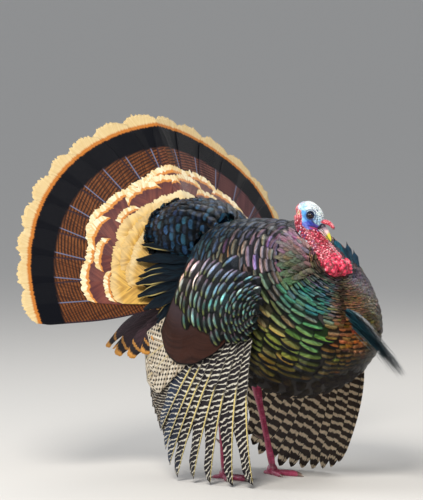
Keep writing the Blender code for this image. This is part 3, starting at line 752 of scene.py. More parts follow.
def spread_rows(surface, centre, core, ahead, spacing, broad, far, girth=0.42, rays=180):
    """Rows of roots round a centre, found from the core of the body outward.

    spacing(r) is the row spacing at a distance r and broad the width of a feather against it.
    Yields (place, heading, chart, gap): chart is the root's unrolled place, gap the spacing along the skin.
    """
    axis = (core - centre).normalized()
    first = (ahead - axis * ahead.dot(axis)).normalized()
    second = axis.cross(first)
    spokes = [first * cos(2 * pi * k / rays) + second * sin(2 * pi * k / rays) for k in range(rays)]

    def on_sphere(spoke, tilt, reach):
        return centre + (axis * cos(tilt) + spoke * sin(tilt)) * reach

    def outside(point):
        spot, normal = surface.near(point)
        return (point - spot).dot(normal) > 0

    def edge_of(spoke, reach, guess):
        """How far a spoke leans where it comes out of the body, or None where it doesn't."""
        high = min(guess + COARSE_TURN, pi)
        while high < pi and not outside(on_sphere(spoke, high, reach)):
            high = min(high + COARSE_TURN, pi)
        if not outside(on_sphere(spoke, high, reach)):
            return None
        low = high - FINE_TURN
        while low > 0 and outside(on_sphere(spoke, low, reach)):
            low -= FINE_TURN
        if low <= 0:
            return None
        high = low + FINE_TURN
        for _ in range(5):
            middle = (low + high) / 2
            if outside(on_sphere(spoke, middle, reach)):
                high = middle
            else:
                low = middle
        return high

    tilts = [FIRST_TILT] * rays
    reach, ring = spacing(0.0), 0
    while reach < far:
        gap = spacing(reach)
        narrowed = sqrt(1 - min(reach / girth, 0.85) ** 2)
        loop = []
        for k, spoke in enumerate(spokes):
            tilt = edge_of(spoke, reach, tilts[k])
            tilts[k] = FIRST_TILT if tilt is None else tilt
            loop.append(None if tilt is None else on_sphere(spoke, tilt, reach))
        gaps = [0.0 if a is None or b is None else (b - a).length for a, b in zip(loop, loop[1:] + loop[:1])]
        run = np.concatenate([[0], np.cumsum([g if g < WIDEST_STEP else 0.0 for g in gaps])])
        count = int(round(run[-1] / (gap * broad)))
        for k in range(count):
            goal = (k + 0.5 * (ring % 2) + 0.25) * run[-1] / count
            j = min(int(np.searchsorted(run, goal, side="right")) - 1, rays - 1)
            a, b = loop[j], loop[(j + 1) % rays]
            if a is None or b is None:
                continue
            t = clamp((goal - run[j]) / max(run[j + 1] - run[j], 1e-9))
            place, up = surface.near(a.lerp(b, t))
            off = place - centre
            heading = off - up * off.dot(up)
            slope = heading.length / max(off.length, 1e-6)
            if slope < LEAST_SLOPE:
                continue
            angle = 2 * pi * (j + t) / rays
            chart = (0.5 + reach * cos(angle) * 0.8, 0.5 + reach * sin(angle) * 0.8)
            yield place, heading.normalized(), chart, gap * narrowed / slope
        reach += gap * narrowed
        ring += 1


# ---------------------------------------------------------------- body skins to lay on
NECK_HOLLOW = ((-0.010, -0.063, 0.355), (0.145, 0.047, 0.515))      # low and high corners of a box
BEARD_HOLLOW = ((0.120, -0.064, 0.290), (0.200, 0.012, 0.390))
TORSO = melted("torso_skin", ("trunk",), 0.005, 6, SKIN_DEPTH, (NECK_HOLLOW, BEARD_HOLLOW))
TORSO_SURFACE = Surface(TORSO)
DOME = melted("dome_skin", ("rump",), 0.004, 4, SKIN_DEPTH)
DOME_SURFACE = Surface(DOME)
MOUND = melted("mound_skin", ("vent",), 0.004, 2, SKIN_DEPTH)
MOUND_SURFACE = Surface(MOUND)
THIGHS = {tag: melted("thigh_skin_" + tag, ("thigh_" + tag,), 0.004, 2, 0.004) for tag, _ in SIDES}
LOBES = {tag: melted("lobe_skin_" + tag, ("wing_%s_shoulder" % tag,), 0.004, 2, SKIN_DEPTH)
         for tag, _ in SIDES}


# ---------------------------------------------------------------- colours of the body coat
HUES = {   # name: (colour, place, reach); the nearest ones blend
    "cape brown": ((0.150, 0.118, 0.095), (0.080, -0.070, 0.440), 0.045),
    "cape grey": ((0.075, 0.080, 0.110), (0.035, -0.060, 0.480), 0.045),
    "shoulder pink": ((0.245, 0.205, 0.245), (0.005, -0.090, 0.478), 0.040),
    "shoulder copper": ((0.150, 0.105, 0.085), (-0.070, -0.125, 0.455), 0.040),
    "shoulder green": ((0.085, 0.120, 0.085), (-0.030, -0.140, 0.430), 0.038),
    "shoulder blue": ((0.075, 0.095, 0.130), (-0.055, -0.145, 0.425), 0.032),
    "back slate": ((0.014, 0.034, 0.060), (-0.110, -0.075, 0.500), 0.070),
    "back teal": ((0.025, 0.050, 0.065), (-0.120, -0.120, 0.470), 0.035),
    "spine slate": ((0.050, 0.060, 0.085), (-0.010, 0.000, 0.515), 0.060),
    "breast teal": ((0.085, 0.205, 0.200), (0.085, -0.105, 0.385), 0.042),
    "breast blue": ((0.060, 0.160, 0.215), (0.115, -0.080, 0.400), 0.034),
    "side gold": ((0.200, 0.185, 0.090), (0.045, -0.135, 0.365), 0.038),
    "side green": ((0.140, 0.175, 0.070), (0.060, -0.135, 0.320), 0.045),
    "breast green": ((0.090, 0.160, 0.075), (0.110, -0.110, 0.335), 0.034),
    "belly gold": ((0.060, 0.046, 0.018), (0.060, -0.125, 0.275), 0.045),
    "belly olive": ((0.024, 0.020, 0.010), (0.080, -0.090, 0.230), 0.045),
    "belly dark": ((0.010, 0.008, 0.006), (0.040, -0.060, 0.190), 0.060),
    "keel dark": ((0.010, 0.008, 0.006), (0.130, 0.010, 0.225), 0.040),
    "midline brown": ((0.190, 0.135, 0.100), (0.150, -0.030, 0.375), 0.028),
    "midline copper": ((0.180, 0.095, 0.055), (0.165, -0.050, 0.315), 0.024),
    "midline olive": ((0.060, 0.045, 0.020), (0.160, -0.050, 0.275), 0.028),
    # The far side's hues: its feathers' colours as their iridescence looks from the camera, so partly a
    # painted sheen.
    "far olive": ((0.048, 0.044, 0.022), (0.150, 0.030, 0.350), 0.035),
    "far violet": ((0.045, 0.045, 0.070), (0.120, 0.060, 0.410), 0.035),
    "far brown": ((0.034, 0.028, 0.020), (0.150, 0.070, 0.330), 0.040),
    "far side green": ((0.110, 0.180, 0.060), (0.050, 0.135, 0.320), 0.060),
    "far belly": ((0.050, 0.042, 0.016), (0.050, 0.120, 0.250), 0.050),
    "far shoulder": ((0.240, 0.160, 0.150), (-0.020, 0.115, 0.465), 0.060),
    "far back": ((0.020, 0.050, 0.070), (-0.120, 0.110, 0.480), 0.060),
}
HUE_COLOURS, HUE_PLACES, HUE_REACH = (np.array([row[k] for row in HUES.values()]) for k in range(3))


def body_tone(place, chance, edge):
    """Blend of the named hues round a place, different on each feather, with painted shade down the breast's
    middle groove.
    """
    away = np.linalg.norm(HUE_PLACES - np.array(place), axis=1) / HUE_REACH
    share = np.exp(-away ** 2 * 1.1) + 1e-7
    share *= np.exp(chance.normal(0, 0.35, len(share)))
    colour = (HUE_COLOURS * share[:, None]).sum(0) / share.sum()
    colour = colour * np.exp(chance.normal(0, 0.20)) * np.exp(chance.normal(0, 0.12, 3))
    # Painted shade: a dark strip down the groove between the two halves of the breast.
    off = abs(place[1] - mix(-0.052, -0.020, ease(place[2], 0.340, 0.425)))
    groove_shade = (1 - ease(off, 0.0035, 0.009)) * ease(place[0], 0.11, 0.13) * ease(place[2], 0.31, 0.35)
    colour = colour * (1 - 0.72 * groove_shade)
    grey = colour.mean()
    return (*np.clip((grey + (colour - grey) * 1.45) * 1.45, 0.002, 1), edge)


NECK_FOOT = Vector((0.100, -0.008, 0.440))
TORSO_CORE = Vector((-0.040, 0.0, 0.340))


def middle_share(p):
    """0 on the midline of the breast, 1 out on the flanks."""
    front = ease(p.x, 0.085, 0.125)
    return 1 - front * (1 - ease(abs(p.y + 0.012), 0.020, 0.105))


BODY_TRACTS = (  # name, row spacing against the flank's, width against spacing, share of the midline from, to
    ("flank", 0.76, 2.9, 0.60, 1.1),
    ("breast", 0.60, 2.35, 0.28, 0.60),
    ("keel", 0.44, 1.8, -0.1, 0.28),
)


def body_gap(away, finer=1.0):
    """Row spacing of the body coat at a distance from the foot of the neck."""
    return max(mix(0.0050, 0.0165, ease(away, 0.070, 0.160)) * finer, 0.0046)


COAT_END = -0.235        # the rump's feathers take over behind this
BACK_END, BACK_LOW = -0.20, 0.36
NECK_BARE = 0.020        # no feathers this near the foot of the neck
BELLY_TOP = 0.246        # soft dark feathers below this
CAPE_LOW, CAPE_MIDDLE, CAPE_HIGH = (0.165, 0.122, 0.100), (0.086, 0.122, 0.068), (0.230, 0.165, 0.185)
BELLY_TONE = (0.016, 0.011, 0.006)


def body_coat():
    """Bronze coat in rows round the foot of the neck, in three tracts of their own fineness."""
    chance = np.random.default_rng(11)
    cape, belly = Roots(), Roots()
    for k, (tag, finer, broad, share_from, share_to) in enumerate(BODY_TRACTS):
        roots = Roots()
        for place, heading, chart, gap in spread_rows(
                TORSO_SURFACE, NECK_FOOT, TORSO_CORE, Vector((-1, 0, 0)), lambda r: body_gap(r, finer), broad,
                0.44):
            reach = (place - NECK_FOOT).length
            if place.x < COAT_END or (place.x < BACK_END and place.z > BACK_LOW) or reach < NECK_BARE:
                continue
            if not share_from < middle_share(place) + chance.normal(0, 0.03) <= share_to:
                continue
            wide = body_gap(reach, finer) * broad
            if 0.050 < reach < 0.092 and place.y < -0.030 and place.z > 0.424 - 0.10 * (reach - 0.05):
                low = ease(reach, 0.048, 0.085)
                tone = [mix(mix(a, b, low), c, ease(place.z, 0.440, 0.475)) * 1.7 * chance.normal(1, 0.14)
                        for a, b, c in zip(CAPE_LOW, CAPE_MIDDLE, CAPE_HIGH)]
                cape.grow(place, heading, 0.0066, mix(0.024, 0.032, low) * chance.normal(1, 0.04),
                          (*np.clip(tone, 0.01, 1), 0.3), chart)
            edge = mix(0.15, 1.0, ease(gap, 0.0065, 0.0105))
            if place.z + chance.normal(0, 0.005) < BELLY_TOP - 0.10 * abs(place.y):
                belly.grow(place, heading, 0.0080, 0.026 * chance.normal(1, 0.08),
                           (*(np.array(BELLY_TONE) * exp(chance.normal(0, 0.3))), 0.0), chart)
                continue
            roots.grow(place + heading * gap * chance.normal(0, 0.10), heading,
                       wide * mix(0.58, 0.76, chance.random()),
                       min(gap, wide * 0.9) * 2.5 * chance.normal(1, 0.07),
                       body_tone(place, chance, edge), chart)
        lay("body_coat_" + tag, TORSO_SURFACE, roots, FINISH["bronze"], "coat", 21 + k,
            lift=SKIN_DEPTH * mix(0.75, 1.0, finer), square=0.88, yaw=0.09)
    lay("belly_coat", TORSO_SURFACE, belly, FINISH["down"], "coat", 28, lift=SKIN_DEPTH, square=0.7, yaw=0.12)
    lay("cape_coat", TORSO_SURFACE, cape, FINISH["cape"], "coat", 29, lift=SKIN_DEPTH + 0.0050, cup=0.08,
        square=0.75, yaw=0.05)


# ---------------------------------------------------------------- tail frame, as in the solids
FAN_ROOT = Vector((-0.232, 0.002, 0.369))
FAN_TILT = radians(57.3)
FAN_YAW = radians(13.7)
FAN_ROLL = radians(5.9)
FAN_SWEEP = radians(-13.6)
FAN_LENGTH = 0.424
FAN_FEATHERS = 18
FAN_STEP = radians(10.12)
FAN_COLS = 31            # points across a vane
SHAFT_HIGH = 0.0006
FAN_AXIS = Vector((-cos(FAN_TILT) * cos(FAN_YAW), cos(FAN_TILT) * sin(FAN_YAW), sin(FAN_TILT)))
FLAT_SIDE = Vector((-sin(FAN_YAW), -cos(FAN_YAW), 0))
FAN_SIDE = cos(FAN_ROLL) * FLAT_SIDE + sin(FAN_ROLL) * FAN_AXIS.cross(FLAT_SIDE)
FAN_FRONT = FAN_AXIS.cross(FAN_SIDE)


def fan_points(turn, reach, lift):
    """Points of the fan for arrays of turn, reach and lift."""
    sweep = FAN_SWEEP * np.abs(np.sin(turn)) + radians(1.9) * np.sin(turn)
    sweep = sweep - 0.55 * np.clip(turn - radians(34), 0, 1) ** 2 * np.maximum(np.sin(turn), 0)
    axis, side, face = np.array(FAN_AXIS), np.array(FAN_SIDE), np.array(FAN_FRONT)
    along = np.cos(turn)[..., None] * axis + np.sin(-turn)[..., None] * side
    ray = along * np.cos(sweep)[..., None] + face * np.sin(sweep)[..., None]
    out = face * np.cos(sweep)[..., None] - along * np.sin(sweep)[..., None]
    return np.array(FAN_ROOT) + ray * reach[..., None] + out * lift[..., None]


def fan_turn(place):
    return (place - (FAN_FEATHERS + 1) / 2) * FAN_STEP


def fan_vanes(name, places, start, ends, half_angle, lift, tilt, material, slot, seed, tones, rows, crown,
              fringe, foot, thick=0.0, replaced=(), tile=None):
    """Long vanes laid on the fan: each from the start to its end along its own ray."""
    chance = np.random.default_rng(seed)
    count = len(places)
    full = (count, rows, FAN_COLS)
    s = np.linspace(0, 1, rows)[None, :, None]
    w = np.linspace(-1, 1, FAN_COLS)[None, None, :]
    turn, end, lift, lean = (np.array(values)[:, None, None]
                             for values in ([fan_turn(place) for place in places], ends, lift, tilt))
    shape = np.minimum(foot + (1 - foot) * np.sin(np.clip(s * 1.5, 0, 1) * pi / 2), 1)
    shape = shape * (1 - 0.10 * ease_all(s, 0.90, 1.0))
    comb = chance.standard_normal((count, 1, FAN_COLS)) * fringe
    drop = end * (crown * np.abs(w) ** 2.6 + comb) * ease_all(s, 0.80, 1.0)
    reach = start + (end - start) * s - drop
    turn = turn + np.arctan2(half_angle * end * shape * w, np.maximum(reach, 0.05))
    height = lift + lean * w * shape + SHAFT_HIGH * hump(w, 0, 0.06) * (1 - 0.6 * s)
    points = fan_points(*(np.broadcast_to(values, full) for values in (turn, reach, height)))
    chance.random(count)     # keeps the draws below in their places
    vane = spread(full, s if tile is None else reach / tile, w, chance.random((count, 1, 1)))
    ob = sheet_mesh(name, points, vane, tones, own_patches(full, s, w), material)
    if thick:
        thicken(ob, thick)
    show(ob, *replaced, slot=slot)


def tail():
    """Eighteen long tail feathers, the middle pair in front."""
    places = [k + 1 for k in range(FAN_FEATHERS)]
    middle = (FAN_FEATHERS + 1) / 2
    lift = [0.0009 - 0.00009 * abs(p - middle) for p in places]
    tilt = [(-1 if p > middle else 1) * 0.0011 for p in places]
    chance = np.random.default_rng(5)
    ends = [FAN_LENGTH * (1 - 0.012 * chance.random()) for _ in places]
    tones = [(0.3, 0.17, 0.08, ease(p, 8.0, 15.0)) for p in places]
    fan_vanes("tail_feathers", places, 0.05, ends, FAN_STEP * 0.66, lift, tilt, FINISH["tail"], "tail", 31,
              tones, rows=44, crown=0.046, fringe=0.0045, foot=0.16, thick=0.0005, replaced=("tail_fan",),
              tile=FAN_LENGTH)


def tail_covert_rings():
    """Laps of coverts on the fan: two maroon with cream fringes, two gold, then the pale rim by the rump."""
    chance = np.random.default_rng(7)
    laps = (  # name, count, reach, spread of reach, lift, half width in steps, finish, paleness
        ("outer", 11, 0.705, 0.020, 0.0030, 0.62, "covert", 0.0),
        ("outer_second", 12, 0.640, 0.028, 0.0042, 0.60, "covert", 0.0),
        ("gold_outer", 13, 0.555, 0.014, 0.0056, 0.72, "buff", 0.55),
        ("gold_inner", 15, 0.505, 0.014, 0.0068, 0.80, "buff", 0.15),
        ("rim", 20, 0.462, 0.006, 0.0082, 0.80, "buff", 0.85),
    )
    for k, (tag, count, reach, vary, lift, half, kind, pale) in enumerate(laps):
        places = [1.2 + (FAN_FEATHERS - 1.4) * (i + 0.5 + 0.15 * chance.standard_normal()) / count
                  for i in range(count)]
        if tag in ("gold_inner", "rim"):
            places = [mix(2.2, 16.6, (i + 0.5) / count) for i in range(count)]
        ends, tilts, lifts, tones = [], [], [], []
        for place in places:
            turn = fan_turn(place)
            side = 1 - 0.05 * abs(sin(turn))
            ends.append(FAN_LENGTH * (reach * side + vary * chance.standard_normal()))
            tilts.append(0.0008 * (1 if turn < 0 else -1))
            lifts.append(lift - 0.0010 * abs(turn) / 1.5)
            far = ease(place, 6.0, 10.5)
            paler = mix(pale * 0.35, pale + 0.35, far) + 0.08 * chance.standard_normal()
            tones.append((0.5, 0.3, 0.1, clamp(paler)))
        step = FAN_STEP * FAN_FEATHERS / count
        fan_vanes("tail_coverts_" + tag, places, 0.075, ends, step * half, lifts, tilts, FINISH[kind],
                  "tail_cover", 41 + k, tones, rows=24, crown=0.030, fringe=0.006, foot=0.4,
                  replaced=("tail_coverts",) if k == 0 else ())


def rump_coat():
    """Blue-black scaled dome that flows from the back out to the pale rim."""
    chance = np.random.default_rng(61)
    blues = ((0.012, 0.034, 0.070), (0.010, 0.024, 0.050), (0.018, 0.060, 0.105), (0.010, 0.020, 0.036))
    roots = Roots()
    crown = DOME_SURFACE.near(Vector((-0.192, 0.002, 0.490)))[0]
    for place, heading, chart, _ in spread_rows(
            DOME_SURFACE, crown, Vector((-0.275, 0.015, 0.480)), Vector((-0.3, 0, 1)), lambda r: 0.0120, 1.45,
            0.20, 0.5, 120):
        blue = blues[int(chance.integers(0, 4))]
        roots.grow(place, heading, 0.0118 * chance.normal(1, 0.08), 0.033 * chance.normal(1, 0.08),
                   (*[c * 1.25 * chance.normal(1, 0.08) for c in blue], 1.0), chart)
    lay("rump_coat", DOME_SURFACE, roots, FINISH["rump"], "rump_coat", 62, cup=0.22, square=0.65, curl=0.02,
        yaw=0.10)


# ---------------------------------------------------------------- wings, as in the solids
WING_OUT = 0.190
WING_LAYER = 0.0036
FLIGHT_THICK = 0.0005
LOBE_MID = (-0.070, 0.374)
LOBE_LONG = 0.114
LOBE_TALL = 0.076
LOBE_TILT = radians(14)
NEAR_PRIMARY_TIPS = ((0.0, 0.018, 0.009), (0.15, -0.033, 0.004), (0.3, -0.095, 0.004),
                     (0.45, -0.142, 0.012), (0.6, -0.196, 0.010), (0.8, -0.212, 0.055),
                     (1.0, -0.228, 0.100))
FAR_PRIMARY_TIPS = ((0.0, -0.030, 0.030), (0.15, -0.062, 0.010), (0.3, -0.105, 0.004),
                    (0.45, -0.148, 0.004), (0.62, -0.200, 0.004), (0.8, -0.245, 0.030),
                    (1.0, -0.270, 0.075))
PRIMARY_ROOTS = ((0.0, 0.020, 0.300), (1.0, -0.070, 0.315))
NEAR_SECONDARY_TIPS = ((0.0, -0.165, 0.070), (0.3, -0.230, 0.095), (0.6, -0.264, 0.150),
                       (0.85, -0.280, 0.215), (1.0, -0.278, 0.262))
FAR_SECONDARY_TIPS = ((0.0, -0.200, 0.062), (0.3, -0.258, 0.090), (0.6, -0.288, 0.150),
                      (0.85, -0.296, 0.215), (1.0, -0.286, 0.265))
SECONDARY_ROOTS = ((0.0, -0.020, 0.300), (1.0, -0.125, 0.328))


def wing_out(x, z):
    """Outer face of a wing from the midline, for arrays."""
    high = np.where(z > 0.2, 0.55, 0.3)
    return WING_OUT - high * (z - 0.2) ** 2 - 0.95 * (x + 0.09) ** 2


def lobe_share(x, z):
    """0 in the middle of the shoulder lobe, 1 on its rim."""
    across, up = x - LOBE_MID[0], z - LOBE_MID[1]
    u = across * cos(LOBE_TILT) - up * sin(LOBE_TILT)
    v = across * sin(LOBE_TILT) + up * cos(LOBE_TILT)
    return np.sqrt((u / LOBE_LONG) ** 2 + (v / LOBE_TALL) ** 2)


def lobe_out(x, z):
    share = np.clip(lobe_share(x, z), 0, 1)
    return wing_out(x, z) + 0.012 * (1 - share ** 2) ** 0.7 - SKIN_DEPTH * (1 - share ** 6)


def flight_vanes(name, side, layer, roots, tips, bow, count, half, material, slot, seed, rows=48, cols=17,
                 finger=0.0, square=0.4, replaced=(), tilt=0.0010, part=(0.0, 1.0), lead=0.34, places=None):
    """A row of flight feathers on the wing's curved face, the hind ones lying over the fore ones."""
    chance = np.random.default_rng(seed)
    places = places or [mix(part[0], part[1], (k + 0.5) / count) for k in range(count)]
    root = np.array([knots(roots, t) for t in places])
    tip = np.array([knots(tips, t) for t in places])
    push = bow * (1 - np.array(places))
    elbow = (root + tip) / 2 + np.stack([push, push * 0.15], -1)
    s = np.linspace(0, 1, rows)
    w = np.linspace(-1, 1, cols)
    q = s[None, :, None]
    line = (1 - q) ** 2 * root[:, None] + 2 * q * (1 - q) * elbow[:, None] + q * q * tip[:, None]
    way = unit(2 * (1 - q) * (elbow - root)[:, None] + 2 * q * (tip - elbow)[:, None])
    across = np.stack([-way[..., 1], way[..., 0]], -1)
    across = across * np.sign(across[..., :1])
    shape = np.minimum(0.35 + 1.6 * s, 1) * (1 - finger * ease_all(s, 0.45, 0.85))
    shape = shape * np.maximum(np.clip((1 - s) / 0.10, 0, 1) ** square, 0.04)
    off = half * shape[:, None] * w * np.where(w > 0, lead * 1.2, 1.0)
    xz = line[:, :, None, :] + across[:, :, None, :] * off[None, :, :, None]
    frayed_end = chance.standard_normal((count, 1, cols, 1)) * 0.0012 * (q[..., None] > 0.93)
    xz = xz + way[:, :, None, :] * frayed_end
    x, z = xz[..., 0], np.maximum(xz[..., 1], 0.0035)
    y = wing_out(x, z) - layer * WING_LAYER + tilt * w - 0.0008 + 0.0007 * hump(w, 0, 0.09)
    full = (count, rows, cols)
    grids = (np.stack([x, side * y, z], -1), spread(full, q, w, chance.random((count, 1, 1))),
             own_patches(full, q, w))
    points, vane, patch = facing_out(side, *grids)
    ob = sheet_mesh(name, points, vane, [(0.1, 0.1, 0.1, t) for t in places], patch, material)
    thicken(ob, FLIGHT_THICK)
    show(ob, *replaced, slot=slot)


WING_BEND = (0.050, 0.350)
LOBE_TEAL, LOBE_COPPER, LOBE_VIOLET = (0.022, 0.170, 0.220), (0.380, 0.150, 0.090), (0.090, 0.110, 0.300)
LOBE_GREEN, LOBE_DARK = (0.080, 0.230, 0.110), (0.020, 0.035, 0.035)


def lobe_coat(tag, side):
    """Small coverts of the shoulder: they spread back and down from the bend of the wing."""
    chance = np.random.default_rng(71 + (side > 0))
    feathers = []
    reach = 0.010
    ring = 0
    while reach < 0.235:
        gap = mix(0.0075, 0.0150, ease(reach, 0.02, 0.13))
        wide = gap * mix(1.3, 2.1, ease(reach, 0.02, 0.09))
        count = max(int(pi * 1.5 * reach / wide), 3)
        for k in range(count):
            angle = mix(radians(98), radians(330), (k + 0.5 * (ring % 2) + 0.25) / count)
            x = WING_BEND[0] + reach * cos(angle)
            z = WING_BEND[1] + reach * sin(angle)
            end = lobe_share(x + 2.3 * gap * cos(angle), z + 2.3 * gap * sin(angle))
            if lobe_share(x, z) <= 1.0 and end <= 1.08:
                feathers.append((x, z, angle, gap, wide))
        reach += gap
        ring += 1
    count = len(feathers)
    data = np.array(feathers)
    lean = np.array([chance.normal(0, 0.10) for _ in feathers])
    angle = data[:, 2] + lean + 0.20 * np.sin(data[:, 2] - pi)
    length = (data[:, 3] * 2.3 * (1 + 0.11 * chance.standard_normal(count)))[:, None, None]
    half = (data[:, 4] * 0.66)[:, None, None]
    full = (count, len(ROWS), len(COLS))
    s, w = ROWS[None, :, None], COLS[None, None, :]
    bent_way = angle[:, None, None] + 0.10 * s
    way = np.stack([np.cos(bent_way), np.sin(bent_way)], -1)
    across = np.stack([-way[..., 1], way[..., 0]], -1)
    shape = vane_shape(0.80)
    off = half * shape * w
    back = length * 0.20 * np.abs(w) ** 2.4 * s ** 6
    xz = data[:, None, None, :2] + way * (length * s)[..., None]
    xz = xz + across * off[..., None] - way * back[..., None]
    x, z = xz[..., 0], xz[..., 1]
    rise = 0.0004 + SKIN_DEPTH * s - 0.07 * half * shape * w ** 2 * (0.3 + 0.7 * s) + 0.0014 * w * s
    points = np.stack([x, side * (lobe_out(x, z) + rise), z], -1)
    vane = spread(full, s, w, chance.random((count, 1, 1)))
    tones = []
    for px, pz, *_ in feathers:
        high = ease(pz, 0.335, 0.425)
        rear = ease(-px, 0.02, 0.16)
        base = [mix(a, b, 0.55 * high * rear + 0.25 * chance.random())
                for a, b in zip(LOBE_TEAL, LOBE_COPPER)]
        base = [mix(a, b, 0.5 * high * (1 - rear)) for a, b in zip(base, LOBE_VIOLET)]
        base = [mix(a, b, 0.5 * chance.random() * (1 - high)) for a, b in zip(base, LOBE_GREEN)]
        low = ease(-pz, -0.372, -0.322)
        base = [mix(a, b, 0.88 * low) for a, b in zip(base, LOBE_DARK)]
        lively = exp(chance.normal(0, 0.60)) * 1.45
        tones.append((*[clamp(b * lively) for b in base], 1.0))
    chart = np.stack([0.5 + (data[:, 0] + 0.07) * 2.2, 0.5 + (data[:, 1] - 0.37) * 2.2], -1)
    points, vane, patch = facing_out(side, points, vane, small_patches(full, chart, s, w))
    show(sheet_mesh("shoulder_coat_" + tag, points, vane, tones, patch, FINISH["lobe"]), slot="wing_cover")


PANEL_TIPS = ((0.0, -0.022, 0.308), (0.2, -0.058, 0.268), (0.45, -0.115, 0.240), (0.7, -0.165, 0.238),
              (0.88, -0.208, 0.260), (1.0, -0.226, 0.302))
PANEL_ROOTS = ((0.0, -0.010, 0.335), (1.0, -0.195, 0.372))
PANEL_THICK = 0.0008


def wing_panel(tag, side):
    """The broad innermost feather that lies over the others, smooth and dark."""
    t = np.linspace(1, 0, 41)
    root = np.array([knots(PANEL_ROOTS, a) for a in t])
    tip = np.array([knots(PANEL_TIPS, a) for a in t])
    for _ in range(6):
        tip[1:-1] = (tip[:-2] + 2 * tip[1:-1] + tip[2:]) / 4
    q = np.linspace(0, 1, 31)[:, None]
    w = np.linspace(1, -1, 41)[None, :]
    xz = root[None] + (tip - root)[None] * q[..., None]
    x, z = xz[..., 0], xz[..., 1]
    swell = 0.0030 * (1 - w ** 4) * np.sin(q * pi * 0.85)
    y = wing_out(x, z) - 0.5 * WING_LAYER + swell + 0.0002 * np.sin(w * 19 + q * 2)
    full = (1, *x.shape)
    points, vane, patch = facing_out(side, np.stack([x, side * y, z], -1)[None], spread(full, q, w, 0.4),
                                     own_patches(full, q, w))
    ob = sheet_mesh("tertial_panel_" + tag, points, vane, [(0.1, 0.1, 0.1, 1.0)], patch, FINISH["panel"])
    thicken(ob, PANEL_THICK)
    show(ob, "wing_%s_tertials" % tag, slot="tertial")


def wing(tag, side):
    near = side < 0
    primary = NEAR_PRIMARY_TIPS if near else FAR_PRIMARY_TIPS
    secondary = NEAR_SECONDARY_TIPS if near else FAR_SECONDARY_TIPS
    hands = {"replaced": ("wing_%s_primaries" % tag,), "rows": 64, "cols": 23}
    if near:
        flight_vanes("primaries_" + tag, side, 1.7, PRIMARY_ROOTS, primary, -0.016, 8, 0.042,
                     FINISH["primary"], "primary", 81, finger=0.48, tilt=0.0016, lead=0.07,
                     places=[0.0, 0.14, 0.28, 0.42, 0.56, 0.70, 0.84, 1.0], **hands)
    else:
        flight_vanes("primaries_" + tag, side, 3, PRIMARY_ROOTS, primary, 0.050, 11, 0.029,
                     FINISH["far_primary"], "primary", 81, finger=0.25, tilt=0.0014, lead=0.30, **hands)
    flight_vanes("secondaries_" + tag, side, 2.6 if near else 2, SECONDARY_ROOTS, secondary, -0.010, 9, 0.024,
                 FINISH["secondary" if near else "far_primary"], "secondary", 82, square=0.5,
                 replaced=("wing_%s_secondaries" % tag,), part=(0.0, 0.70), lead=0.6)
    flight_vanes("inner_secondaries_" + tag, side, 1.2, SECONDARY_ROOTS, secondary, -0.010, 2, 0.050,
                 FINISH["pale_secondary"], "secondary", 83, square=0.6, part=(0.72, 1.0), lead=0.8)
    wing_panel(tag, side)
    lobe_coat(tag, side)


# ---------------------------------------------------------------- soft feathers behind and below
FREE_ROWS, FREE_COLS = 20, 13
FREE_THICK = 0.0004
FREE_ARCH = 0.10         # drop of a vane's sides against its half width


def free_vanes(name, vanes, material, slot, seed, pointed=0.3, comb=0.004, droop=0.08, replaced=()):
    """Separate long feathers: each (root, tip, way it faces, half width, tone)."""
    chance = np.random.default_rng(seed)
    count = len(vanes)
    full = (count, FREE_ROWS, FREE_COLS)
    q = np.linspace(0, 1, FREE_ROWS)[None, :, None]
    w = np.linspace(-1, 1, FREE_COLS)[None, None, :]
    root, tip, face, half, tones = (np.array([vane[k] for vane in vanes]) for k in range(5))
    half = half[:, None, None]
    way = tip - root
    length = np.linalg.norm(way, axis=1)[:, None, None]
    side = unit(np.cross(unit(face), way))
    face = unit(np.cross(way, side))[:, None, None]
    shape = np.minimum(0.30 + 2.2 * q, 1) * (1 - (1 - pointed) * ease_all(q, 0.70, 1.0) * 0.6)
    line = root[:, None, None] + way[:, None, None] * q[..., None]
    line = line + face * (length * 0.25 * q * (1 - q))[..., None]
    off = half * shape * w
    back = length * (0.06 * np.abs(w) ** 2.4 + comb * chance.standard_normal((count, 1, FREE_COLS))) * q ** 6
    rise = -FREE_ARCH * half * w ** 2 * shape
    points = line + side[:, None, None] * off[..., None] - unit(way)[:, None, None] * back[..., None]
    points = points + face * rise[..., None] + np.array(DOWN) * (droop * length * q ** 3)[..., None]
    vane = spread(full, q, w, chance.random((count, 1, 1)))
    ob = sheet_mesh(name, points, vane, tones, own_patches(full, q, w), material)
    thicken(ob, FREE_THICK)
    show(ob, *replaced, slot=slot)


def rump_skirt():
    """Loose dark feathers with pale edges that spill off the rump over the gold ones, low on either side."""
    chance = np.random.default_rng(65)
    vanes = []
    for side in (-1, 1):
        for k in range(22):
            turn = side * radians(mix(28, 118, k / 21) + chance.normal(0, 2))
            lift = mix(0.056, 0.034, k / 21)
            start, end = fan_points(np.array((turn * 0.97, turn)), np.array((0.070, 0.158 + 0.010 * (k % 3))),
                                    np.array((lift + 0.012, 0.018 + 0.003 * (k % 2))))
            vanes.append((start, end, FAN_FRONT, 0.0115, (0.008, 0.020, 0.032, 1.0)))
    free_vanes("rump_skirt", vanes, FINISH["skirt"], "rump_coat", 66, pointed=0.0, comb=0.008, droop=0.02)


UNDER_TIPS = ((-0.412, 0.128, 0.272), (-0.368, 0.148, 0.258), (-0.322, 0.158, 0.254), (-0.282, 0.160, 0.262),
              (-0.256, 0.156, 0.286))


